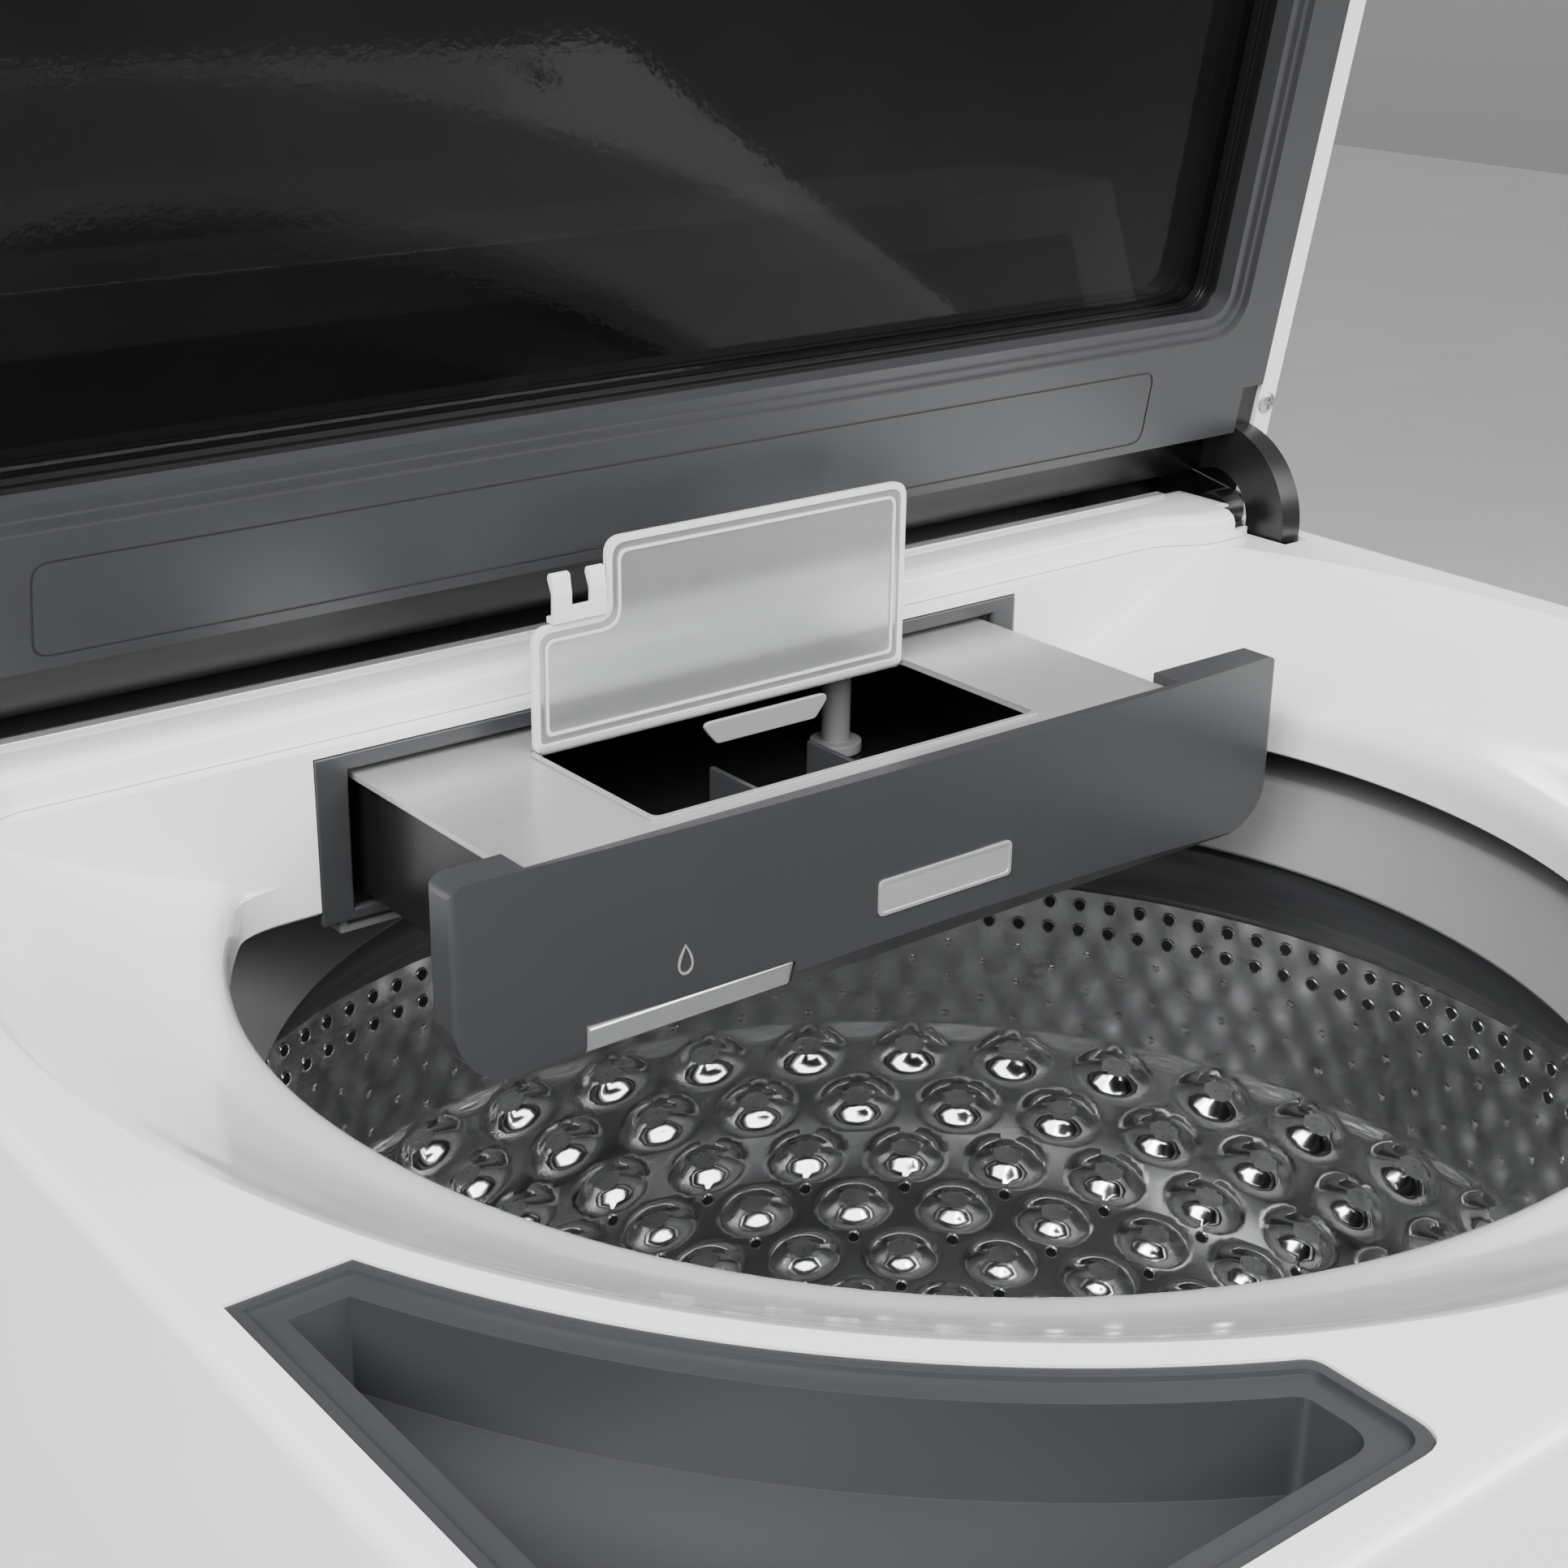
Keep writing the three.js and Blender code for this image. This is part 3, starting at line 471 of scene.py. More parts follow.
def panel_section(angle):
    reach = (WALL_Y - DRUM_Y) / math.sin(angle) if math.sin(angle) > 0.02 else 9000
    r1 = soft_min(THROAT_R, reach, 14)
    r2 = max(soft_min(DISH_R, reach, 26), r1)
    r3 = edge_distance(angle)
    floor_z = curve_at(DISH, max(r2, THROAT_R))
    pts = [(r1 + 1.2, -62), (r1, -61), (r1, -57), (r1, -52)]
    for k in range(27):
        r = r1 + (r2 - r1) * (k / 26) ** 1.25
        pts.append((r, curve_at(DISH, max(r, THROAT_R))))
    for k in range(1, 6):
        pts.append(
            (r2 + 0.15 * k, floor_z * (1 - k / 5.0) - (0.8 if k < 5 and floor_z < -3 else 0) * (k / 5))
        )
    for k in range(10):
        pts.append((r2 + 2.2 + (r3 - 5 - r2 - 2.2) * k / 9, 0))
    for k in range(1, 5):
        a = math.pi / 2 * k / 4
        pts.append((r3 - 5 + 5 * math.sin(a), -5 + 5 * math.cos(a)))
    pts += [(r3, -20), (r3, -44.6), (r3 - 0.4, -45), (r3 - 4, -45), (r3 - 4, -8), (r3 - 7, -4.2)]
    for k in range(4):
        pts.append((r3 - 9 + (r2 + 6 - r3 + 9) * k / 3, -4.2))
    back_z = min(floor_z - 4.5, -4.6)
    pts.append((r2 + 4.4, back_z))
    for k in range(7):
        r = r2 + (r1 - r2) * (k + 1) / 7
        pts.append((r + 4, min(curve_at(DISH, max(r, THROAT_R)) - 4.4, back_z)))
    pts += [(r1 + 4, -55), (r1 + 4, -62)]
    return pts


def panel_angles():
    angles = [2 * math.pi * i / 360 for i in range(360)]
    for sx in (-1, 1):
        for sy in (-1, 1):
            mid = math.atan2(sy * (HALF_D - 5) - DRUM_Y, sx * (HALF_W - 5)) % (2 * math.pi)
            angles += [mid + math.radians(0.3 * k) for k in range(-9, 10)]
    ordered = sorted(a % (2 * math.pi) for a in angles)
    return [a for i, a in enumerate(ordered) if i == 0 or a - ordered[i - 1] > 1e-3]


BLEACH = {"left": -335, "front": -340, "right": -160, "back": -150, "r": 333}


def bleach_outline(grow, soft):
    r = BLEACH["r"] - grow
    left, front = BLEACH["left"] - grow, BLEACH["front"] - grow
    right, back = BLEACH["right"] + grow, BLEACH["back"] + grow
    start = math.atan2(-math.sqrt(r * r - right * right), right)
    end = math.atan2(back - DRUM_Y, -math.sqrt(r * r - (back - DRUM_Y) ** 2))
    end -= 2 * math.pi if end > 0 else 0
    arc = [start + (end - start) * k / 24 for k in range(25)]
    points = [(left, back), (left, front), (right, front)]
    radii = [0.3, soft, soft]
    points += [(r * math.cos(a), DRUM_Y + r * math.sin(a)) for a in arc]
    radii += [soft * 0.6] + [0] * 23 + [0.3]
    return rounded(points, radii)


ARM_SLOT = (317.5, 333.5)  # across, in the top panel, for a hinge arm


def top_panel():
    angles = panel_angles()
    rings = [panel_section(a) for a in angles]
    verts = [
        (r * math.cos(a), DRUM_Y + r * math.sin(a), TOP + z)
        for a, ring in zip(angles, rings) for r, z in ring
    ]
    obj = cleaned(raw("top_panel_shell", verts, ring_faces(len(angles), len(rings[0]))))
    tools = [block("t", DRAWER_X - 167.3, DRAWER_X + 167.3, WALL_Y - 6, WALL_Y + 12, TOP - 70, TOP - 3.2)]
    for side in (-1, 1):
        xs = sorted((side * 300, side * ARM_SLOT[1]))
        tools.append(block("t", *xs, 147, 206, TOP - 60, TOP + 5))
        xs = sorted((side * ARM_SLOT[0], side * ARM_SLOT[1]))
        tools.append(block("t", *xs, 112, 206, TOP - 60, TOP + 5))
    tools.append(prism("t", bleach_outline(0.3, 9), TOP - 50, TOP + 5))
    tools.append(block("t", 258, 272, -324, -296, TOP - 50, TOP + 5))
    combine(obj, tools)
    dress(cleaned(obj), "white_plastic", "machine", "top_panel")


top_panel()


def bleach_cup():
    body = prism("bleach_cup_fine", bleach_outline(0, 9), TOP - 30, TOP - 0.5)
    combine(body, [prism("t", bleach_outline(-10, 8), TOP - 27, TOP + 5)])
    combine(body, [prism("t", bleach_outline(-3, 8), TOP - 2.2, TOP + 5)])
    spout = prism("t", rect(-322, -262, -332, -286, 10), TOP - 29, TOP - 20)
    combine(body, [spout])
    dress(cleaned(body, 0.9), "charcoal_plastic", "machine", "bleach_cup")


bleach_cup()


# ---- white strip in front of the lid hinge, stepping forward near its ends ----
def rear_strip():
    stations = [-316 + 632 * k / 158 for k in range(159)]
    verts = []
    for x in stations:
        step = 11.5 * smoothstep(262, 292, abs(x))
        front = 144 - step
        low = TOP + 0.3
        inset = 1.2 if abs(x) > 315 else 0
        section = [
            (front + inset, low), (front + inset, TOP + 7.5), (front + 1.2, TOP + 10.4),
            (front + 4.2, TOP + 12.4), (front + 8, TOP + 13 - inset), (160, TOP + 13 - inset),
            (173, TOP + 13 - inset), (175.4, TOP + 11.6), (176, TOP + 9), (176, low), (173.5, low),
            (173.5, TOP + 8), (171, TOP + 10.6), (front + 7, TOP + 10.6), (front + 3, TOP + 8),
            (front + 2.4, low),
        ]
        verts += [(x, y, z) for y, z in section]
    n = 16
    count = len(stations)
    faces = []
    for i in range(count - 1):
        faces += [
            (i * n + k, i * n + (k + 1) % n, (i + 1) * n + (k + 1) % n, (i + 1) * n + k)
            for k in range(n)
        ]
    for i, flip in ((0, False), (count - 1, True)):
        for k in range(7):
            quad = (i * n + k, i * n + k + 1, i * n + (14 - k), i * n + (15 - k))
            faces.append(tuple(reversed(quad)) if flip else quad)
    body = cleaned(raw("rear_trim_fine", verts, faces))
    tools = []
    for side in (-1, 1):
        xs = sorted((side * 306, side * 320))
        tools.append(block("t", *xs, 125, 146, TOP + 4, TOP + 20))
    combine(body, tools)
    dress(cleaned(body), "white_plastic", "machine", "rear_trim")
    bead = rounded(box_outline(169, 174.6, TOP + 12.8, TOP + 14.6), 0.6, 3)
    line = prism("rear_trim_line", bead, -298, 298, "x")
    dress(cleaned(line, 0.3), "bright_trim", "machine")
    # painted shade: the trough behind the strip, its end walls and the low covers are black to stand for
    # the shade in the hollow under the raised lid's back edge
    hollow_shade = prism(
        "hinge_hollow_painted_shade",
        rounded(
            [
                (177, TOP + 0.4), (207.6, TOP + 0.4), (207.6, TOP + 16), (206, TOP + 16), (206, TOP + 2.4),
                (177, TOP + 2.4)
            ],
            0.5, 3
        ),
        -317, 317, "x",
    )
    walls = [block("t", x - 14, x + 14, 206.1, 207.7, TOP + 0.5, TOP + 18) for x in (-331, 331)]
    # low covers outside the arms, under the raised lid's back edge, black as painted shade
    side = [(154, TOP + 0.3), (154, TOP + 11.8), (188, TOP + 18), (206, TOP + 21), (206, TOP + 0.3)]
    walls += [prism("t", side, x - 1.2, x + 1.2, "x") for x in (-335, 335)]
    hollow_shade = joined("hinge_hollow_painted_shade", [hollow_shade] + walls)
    dress(cleaned(hollow_shade, 0.3), "black_plastic", "machine")


rear_strip()


# ---- tub ring, balance ring and basket ----
def tub_ring():
    r = 304
    t = TOP
    profile = [
        (r, t - 128), (r + 5, t - 128), (r + 5, t - 78), (259, t - 78), (257, t - 78.6), (255.4, t - 80),
        (254.4, t - 82), (250, t - 89), (247.6, t - 92.6), (246.6, t - 94.6), (242.4, t - 101.4),
        (239.4, t - 106), (238, t - 108.6), (238.6, t - 109.8), (240.4, t - 110.2), (241.6, t - 109.4),
        (258, t - 83), (260, t - 81.5), (r, t - 81.5),
    ]
    obj = cleaned(lathe("tub_ring_fine", profile, 224))
    dress(obj, "grey_plastic", "machine", "tub_ring")


def balance_ring():
    t = TOP
    profile = [
        (248, t - 117), (249.4, t - 114.6), (252, t - 113.2), (258, t - 112), (270, t - 109.6),
        (282, t - 108), (286, t - 109), (288, t - 112), (288, BASKET_TOP + 0.3), (284.4, BASKET_TOP + 0.3),
        (283, BASKET_TOP + 2), (279, t - 158), (276.8, t - 156.4), (274.8, t - 155.6), (268, t - 148),
        (262.4, t - 141.6), (260.6, t - 140.6), (257.6, t - 135.6), (252, t - 128), (249.2, t - 122.6),
    ]
    obj = cleaned(lathe("balance_ring_fine", profile, 224))
    dress(obj, "charcoal_plastic", "basket", "balance_ring")


ROW_Z = [-254 - 28.6 * k for k in range(12)]  # rows of bowls, down from the top
LAND_R = BASKET_R - 2.2
BOWL = 6.3  # depth of a bowl
HOLE_DROP = 19.4  # from a bowl's middle down to its drain hole


def basket_radius(angle, z):
    """The wall's radius: pressed-out bowls in staggered rows, with a flat disc in the bottom of each."""
    wall = LAND_R + 0.9 * smoothstep(-246, -241, z)
    for index, row in enumerate(ROW_Z):
        dz = (z - row) / (11.0 if z > row else 12.5)
        if abs(dz) < 1.2:
            pitch = 2 * math.pi / 36
            off = (angle - (index % 2) * pitch / 2 + pitch / 2) % pitch - pitch / 2
            rho = math.hypot(off * BASKET_R / 16.5, dz)
            t = max(0.0, min(1.0, (rho - 0.40) / 0.66))
            return wall + BOWL * (1 - 0.65 * t - 0.35 * smoothstep(0, 1, t))
    return wall


def wash_basket():
    count = 576
    heights = [BASKET_TOP - TOP - z for z in (0, 3, 8, 16, 26, 40, 55, 68, 75)]
    z = heights[-1] - 2.6
    while z > BASKET_FLOOR + 33 - TOP:
        heights.append(z)
        z -= 3.1
    heights.append(BASKET_FLOOR + 31 - TOP)
    verts = []
    columns = len(heights)
    inner_floor = [
        (BASKET_R - 2, 22), (BASKET_R - 9, 9), (BASKET_R - 19, 3), (BASKET_R - 31, 0), (200, 0), (120, 0),
        (24, 0)
    ]
    outer = [
        (24, -3), (BASKET_R - 30, -3), (BASKET_R - 7, 7), (BASKET_R + 5, 30),
        (BASKET_R + 5, BASKET_TOP - BASKET_FLOOR - 20),
        (BASKET_R + 2, BASKET_TOP - BASKET_FLOOR - 12), (BASKET_R + 2, BASKET_TOP - BASKET_FLOOR - 1),
        (BASKET_R + 1.2, BASKET_TOP - BASKET_FLOOR - 0.1),
    ]
    per = columns + len(inner_floor) + len(outer)
    for i in range(count):
        a = 2 * math.pi * i / count
        c, s = math.cos(a), math.sin(a)
        for h in heights:
            r = basket_radius(a, h) if h > -582 else LAND_R
            verts.append((r * c, DRUM_Y + r * s, TOP + h))
        for r, h in inner_floor + outer:
            verts.append((r * c, DRUM_Y + r * s, BASKET_FLOOR + h))
    faces = []
    for i in range(count):
        j = (i + 1) % count
        faces += [
            (i * per + k, i * per + (k + 1) % per, j * per + (k + 1) % per, j * per + k)
            for k in range(per)
        ]
    obj = cleaned(raw("wash_basket_fine", verts, faces))
    dress(obj, "stainless_steel", "basket", "wash_basket")


def wall_studs(name, places, profile, sides=10, stretch=1.0, petals=0.0):
    """Small round features on the basket wall, each a profile of radius and height above the wall."""
    verts, faces = [], []
    for angle, z, base in places:
        c, s = math.cos(angle), math.sin(angle)
        start = len(verts)
        for m, (r, h) in enumerate(profile):
            for k in range(sides):
                t = 2 * math.pi * k / sides
                across, up = r * stretch * math.cos(t), r * math.sin(t)
                out = base - h - (petals if k % 2 and 0 < m < len(profile) - 1 else 0)
                verts.append((out * c - across * s, DRUM_Y + out * s + across * c, TOP + z + up))
        for m in range(len(profile) - 1):
            for k in range(sides):
                p, q = start + m * sides + k, start + m * sides + (k + 1) % sides
                faces.append((p, q, q + sides, p + sides))
        faces.append(tuple(start + k for k in range(sides)))
        last = start + (len(profile) - 1) * sides
        faces.append(tuple(last + k for k in reversed(range(sides))))
    return cleaned(raw(name, verts, faces))


def basket_details():
    rims, pips, discs = [], [], []
    turn = 2 * math.pi
    for k in range(126):
        for z in (-170, -183):
            rims.append((turn * k / 126, z, LAND_R + 0.9))
    for row, z in enumerate(ROW_Z[:-1]):
        for k in range(36):
            angle = turn * (k + (row % 2) / 2) / 36
            discs.append((angle, z, LAND_R + BOWL))
            if row > 1:
                rims.append((angle, z - HOLE_DROP, LAND_R))
    for row in range(5):
        for k in range(54):
            pips.append((turn * (k + (row % 2) / 2) / 54, -196 - 9.4 * row, LAND_R + 0.9))
    eyes = wall_studs(
        "basket_hole_rims", rims, [(3.7, -0.3), (3.5, 0.4), (3.1, 0.8), (2.7, 0.7), (2.5, 0.2)]
    )
    dress(eyes, "stainless_steel", "basket")
    # painted shade: a near-black disc fills each rim where the drain hole would show the dark gap behind
    # the wall
    hole_shade_discs = wall_studs("basket_hole_painted_shade", rims, [(2.55, 0.2), (2.5, 0.42), (1.6, 0.48)], 10)
    dress(hole_shade_discs, "black_plastic", "basket").data.materials[0] = PAINTED_HOLE_SHADE
    domes = wall_studs("basket_pips", pips, [(2.2, -0.2), (2.0, 0.1), (1.3, 0.4), (0.5, 0.5)], 9)
    dress(domes, "stainless_steel", "basket")
    shape = [(5.6, -0.3), (5.4, 0.1), (4.6, 0.4), (3.0, 0.25), (1.7, 0.45), (0.7, 0.35)]
    rosettes = wall_studs("basket_rosettes", discs, shape, 16, 1.5, 0.3)
    dress(rosettes, "stainless_steel", "basket").data.materials[0] = ROSETTE


def wash_plate():
    count, rings = 240, 58
    z0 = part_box("wash_plate")[0].z / MM
    crown = [
        (0, 66), (20, 64.6), (45, 58), (58, 40), (70, 26), (110, 21.5), (150, 18), (200, 15.4), (228, 13.6),
        (232, 6)
    ]
    fin = [(0, 0), (38, 0), (48, 6), (110, 29), (165, 25), (205, 4), (216, 0), (240, 0)]
    radii = [232 * (k / rings) ** 0.9 for k in range(1, rings + 1)]
    verts = []
    for i in range(count):
        a = 2 * math.pi * i / count
        near = (a + math.pi / 6 - math.pi / 2) % (math.pi / 3) - math.pi / 6
        for r in radii:
            across = abs(near) * r
            lift = curve_at(fin, r) * (1 - smoothstep(5, 15, across))
            verts.append(
                (r * math.cos(a), DRUM_Y + r * math.sin(a), z0 + curve_at(crown, r) + max(lift, 0))
            )
        verts.append((232 * math.cos(a), DRUM_Y + 232 * math.sin(a), z0 + 4.6))
        verts.append((225 * math.cos(a), DRUM_Y + 225 * math.sin(a), z0))
    per = rings + 2
    faces = []
    for i in range(count):
        j = (i + 1) % count
        faces += [(i * per + k, j * per + k, j * per + k + 1, i * per + k + 1) for k in range(per - 1)]
    verts += [(0, DRUM_Y, z0 + 66), (0, DRUM_Y, z0)]
    hub, foot = len(verts) - 2, len(verts) - 1
    for i in range(count):
        j = (i + 1) % count
        faces.append((hub, j * per, i * per))
        faces.append((foot, i * per + per - 1, j * per + per - 1))
    obj = cleaned(raw("wash_plate_fine", verts, faces))
    dress(obj, "grey_plastic", "agitator", "wash_plate")


tub_ring()
balance_ring()
wash_basket()
basket_details()
wash_plate()


# ---- detergent drawer ----
HANDLE_HALF = 194
HANDLE_X = sum(v.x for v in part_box("drawer_handle")) / 2 / MM
HANDLE_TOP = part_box("drawer_handle")[1].z / MM
HANDLE_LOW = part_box("drawer_handle")[0].z / MM


def bowed(x):
    """The handle's front face at x."""
    ends, middle = 27, 21
    sag = ends - middle
    radius = (HANDLE_HALF * HANDLE_HALF + sag * sag) / (2 * sag)
    return middle + radius - math.sqrt(radius * radius - (x - HANDLE_X) ** 2)


def handle():
    x0, x1 = HANDLE_X - HANDLE_HALF, HANDLE_X + HANDLE_HALF
    xs = [x0 + (x1 - x0) * k / 64 for k in range(65)]
    plan = [(x, bowed(x)) for x in xs] + [(x1, 41), (x0, 41)]
    radii = [11] + [0] * 63 + [11, 2, 2]
    body = prism("drawer_handle_fine", rounded(plan, radii, 6), HANDLE_LOW, HANDLE_TOP)
    front = rounded(box_outline(x0 - 0.5, x1 + 0.5, HANDLE_LOW - 0.5, HANDLE_TOP + 0.5), [30, 30, 9, 9], 8)
    combine(body, [prism("t", front, 0, 60, "y")], "INTERSECT")
    wedge = prism(
        "t", [(10, HANDLE_LOW - 3), (10, HANDLE_LOW + 8), (20.9, HANDLE_LOW + 8), (28, HANDLE_LOW - 3)],
        x0 - 5, x1 + 5, "x"
    )
    combine(body, [wedge])
    tools = [block("t", DRAWER_X - 151.3, DRAWER_X + 151.3, 27.2, 50, TOP - 62, TOP + 2)]
    lo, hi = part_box("drawer_grip")
    tools.append(block("t", lo.x / MM - 0.3, hi.x / MM + 0.3, 0, 34, HANDLE_LOW - 2, TOP - 70.7))
    combine(body, tools)
    dress(cleaned(body, 1.1, 3, 28), "charcoal_plastic", "drawer", "drawer_handle")
    grip = prism(
        "drawer_grip_fine",
        rounded(
            [
                (22.6, HANDLE_LOW + 10.7), (33.6, HANDLE_LOW + 10.7), (33.6, HANDLE_LOW + 0.3),
                (25.5, HANDLE_LOW + 0.3)
            ],
            [0.8, 0.8, 0.8, 2.5], 4,
        ),
        lo.x / MM, hi.x / MM, "x",
    )
    dress(cleaned(grip, 0.6), "bright_trim", "drawer", "drawer_grip")
    plate = prism(
        "handle_plaque", rect(-1, 64, TOP - 64, TOP - 50, 2.2), bowed(30) - 0.6, bowed(30) + 2.4, "y"
    )
    combine(
        plate,
        [prism("t", rect(0.4, 62.6, TOP - 62.6, TOP - 51.4, 1.6), bowed(30) - 2, bowed(30) - 0.2, "y")]
    )
    dress(cleaned(plate, 0.25), "bright_trim", "drawer")
    icon = drop_outline("handle_drop_icon", -85, TOP - 57, 5.2, bowed(-85))
    dress(icon, "satin_plastic", "drawer")


def drop_outline(name, x, z, size, y):
    """A water drop drawn as a thin raised line."""
    verts, faces = [], []
    count = 48
    for k in range(count):
        t = 2 * math.pi * k / count
        px = size * 0.72 * math.sin(t) * math.sin(t / 2) ** 1.2
        pz = size * math.cos(t)
        for w, h in ((-0.45, -0.25), (0.45, -0.25), (0.45, 0.5), (-0.45, 0.5)):
            length = math.hypot(px, pz) or 1
            verts.append((x + px + w * px / length, y + h - 0.1, z + pz + w * pz / length))
    for k in range(count):
        j = (k + 1) % count
        faces += [(k * 4 + m, j * 4 + m, j * 4 + (m + 1) % 4, k * 4 + (m + 1) % 4) for m in range(4)]
    return cleaned(raw(name, verts, faces))


WELL = (-83.5, 94.5, 42.5, 122)


def drawer_plate():
    plate = block("drawer_top_fine", DRAWER_X - 151, DRAWER_X + 151, 27.5, 236, TOP - 15, TOP - 12.7)
    combine(plate, [prism("t", rect(*WELL, 3), TOP - 20, TOP)])
    dress(cleaned(plate, 0.5), "satin_plastic", "drawer", "drawer_top")
    lip = prism(
        "drawer_well_lip", rect(WELL[0] - 2.2, WELL[1] + 2.2, WELL[2] - 2.2, WELL[3] - 2.6, 4), TOP - 12.7,
        TOP - 11.9
    )
    combine(
        lip, [prism("t", rect(WELL[0] + 0.4, WELL[1] - 0.4, WELL[2] + 0.4, WELL[3] + 4, 3), TOP - 20, TOP)]
    )
    dress(cleaned(lip, 0.3), "satin_plastic", "drawer")
    refined("drawer_tray", "black_plastic", "drawer", 0.8)
    tab = prism(
        "drawer_spout_tab",
        rounded([(-12, TOP - 15.6), (52, TOP - 15.6), (44, TOP - 25), (-4, TOP - 25)], 3), 113, 115, "y"
    )
    dress(cleaned(tab, 0.5), "satin_plastic", "drawer")
    bridge = []
    for x in (-52, -4, 44):
        bridge.append(
            prism("t", rounded(box_outline(x, x + 2.4, TOP - 56.6, TOP - 36), 0.6, 3), 60, 118, "y")
        )
    ribs = joined("drawer_ribs", bridge)
    dress(cleaned(ribs, 0.4), "charcoal_plastic", "drawer")
    gauge = prism("drawer_level_gauge", rounded(box_outline(-30, 26, 46, 62), 4), TOP - 40, TOP - 30)
    combine(gauge, [prism("t", rounded(box_outline(-22, 18, 50, 58), 3), TOP - 36, TOP - 20)])
    dress(cleaned(gauge, 0.6), "black_plastic", "drawer")
    refined("siphon_post", "grey_plastic", "drawer", 0.7)


FLAP_Y = 120
FLAP_Z = TOP - 14.5


def flap_outline(inset):
    i = inset
    points = [
        (-82 + i, 1.2 + i), (93 - i, 1.2 + i), (93 - i, 77 - i), (-50 + i, 77 - i), (-50 + i, 48.5 - i),
        (-82 + i, 48.5 - i)
    ]
    radii = [2.5, 2.5, 7 - i * 0.5, 7 - i * 0.5, 5 + i * 0.5, 7 - i * 0.5]
    return [(x, FLAP_Z + z) for x, z in rounded(points, radii, 6)]


def flap():
    sheet = prism("drawer_flap_sheet", flap_outline(1.6), FLAP_Y - 0.7, FLAP_Y + 0.7, "y")
    dress(cleaned(sheet, 0.25), "frosted_plastic", "flap", "drawer_flap")
    edge = prism("drawer_flap_border", flap_outline(0), FLAP_Y - 1.2, FLAP_Y + 1.2, "y")
    combine(edge, [prism("t", flap_outline(2.6), FLAP_Y - 3, FLAP_Y + 3, "y")])
    dress(cleaned(edge, 0.7, 3), "frosted_plastic", "flap").data.materials[0] = FLAP_EDGE
    inner = prism("drawer_flap_bead", flap_outline(5.2), FLAP_Y - 1.0, FLAP_Y + 1.0, "y")
    combine(inner, [prism("t", flap_outline(6.4), FLAP_Y - 3, FLAP_Y + 3, "y")])
    dress(cleaned(inner, 0.3), "frosted_plastic", "flap").data.materials[0] = FLAP_EDGE
    roll = rounded(box_outline(FLAP_Y - 1.9, FLAP_Y + 1.9, FLAP_Z - 0.2, FLAP_Z + 3.4), 1.6, 4)
    barrel = prism("drawer_flap_hinge", roll, -80, 91, "x")
    dress(cleaned(barrel, 0.3), "frosted_plastic", "flap")
    profile = [
        (FLAP_Y - 2.8, 48.9), (FLAP_Y + 2.4, 48.9), (FLAP_Y + 2.4, 51.4), (FLAP_Y - 0.6, 51.8),
        (FLAP_Y - 0.9, 60), (FLAP_Y + 1.6, 65.4), (FLAP_Y + 0.8, 67.6), (FLAP_Y - 1.6, 67),
        (FLAP_Y - 2.8, 60),
    ]
    clip = prism("flap_clip_fine", rounded([(y, FLAP_Z + z) for y, z in profile], 0.8, 4), -74, -51, "x")
    combine(clip, [block("t", -66, -58, FLAP_Y - 6, FLAP_Y + 6, FLAP_Z + 55, FLAP_Z + 75)])
    dress(cleaned(clip, 0.4), "frosted_plastic", "flap", "flap_clip").data.materials[0] = FLAP_EDGE


handle()
drawer_plate()
flap()
refined("dispenser_frame", "charcoal_plastic", "machine", 1.0, 3)
refined("dispenser_housing", "grey_plastic", "machine", 0.8)


# ---- lid, made closed and then opened about its hinge ----
def open_lid(obj):
    place = Matrix.Translation((0, HINGE_Y * MM, HINGE_Z * MM))
    obj.data.transform(place @ Matrix.Rotation(math.radians(-LID_OPEN), 4, "X") @ place.inverted())
    return obj


WINDOW = (-300, 300, -280, 61)


def window_rect(grow, r=11):
    return rect(WINDOW[0] - grow, WINDOW[1] + grow, WINDOW[2] - grow, WINDOW[3] + grow, r + grow, 8)


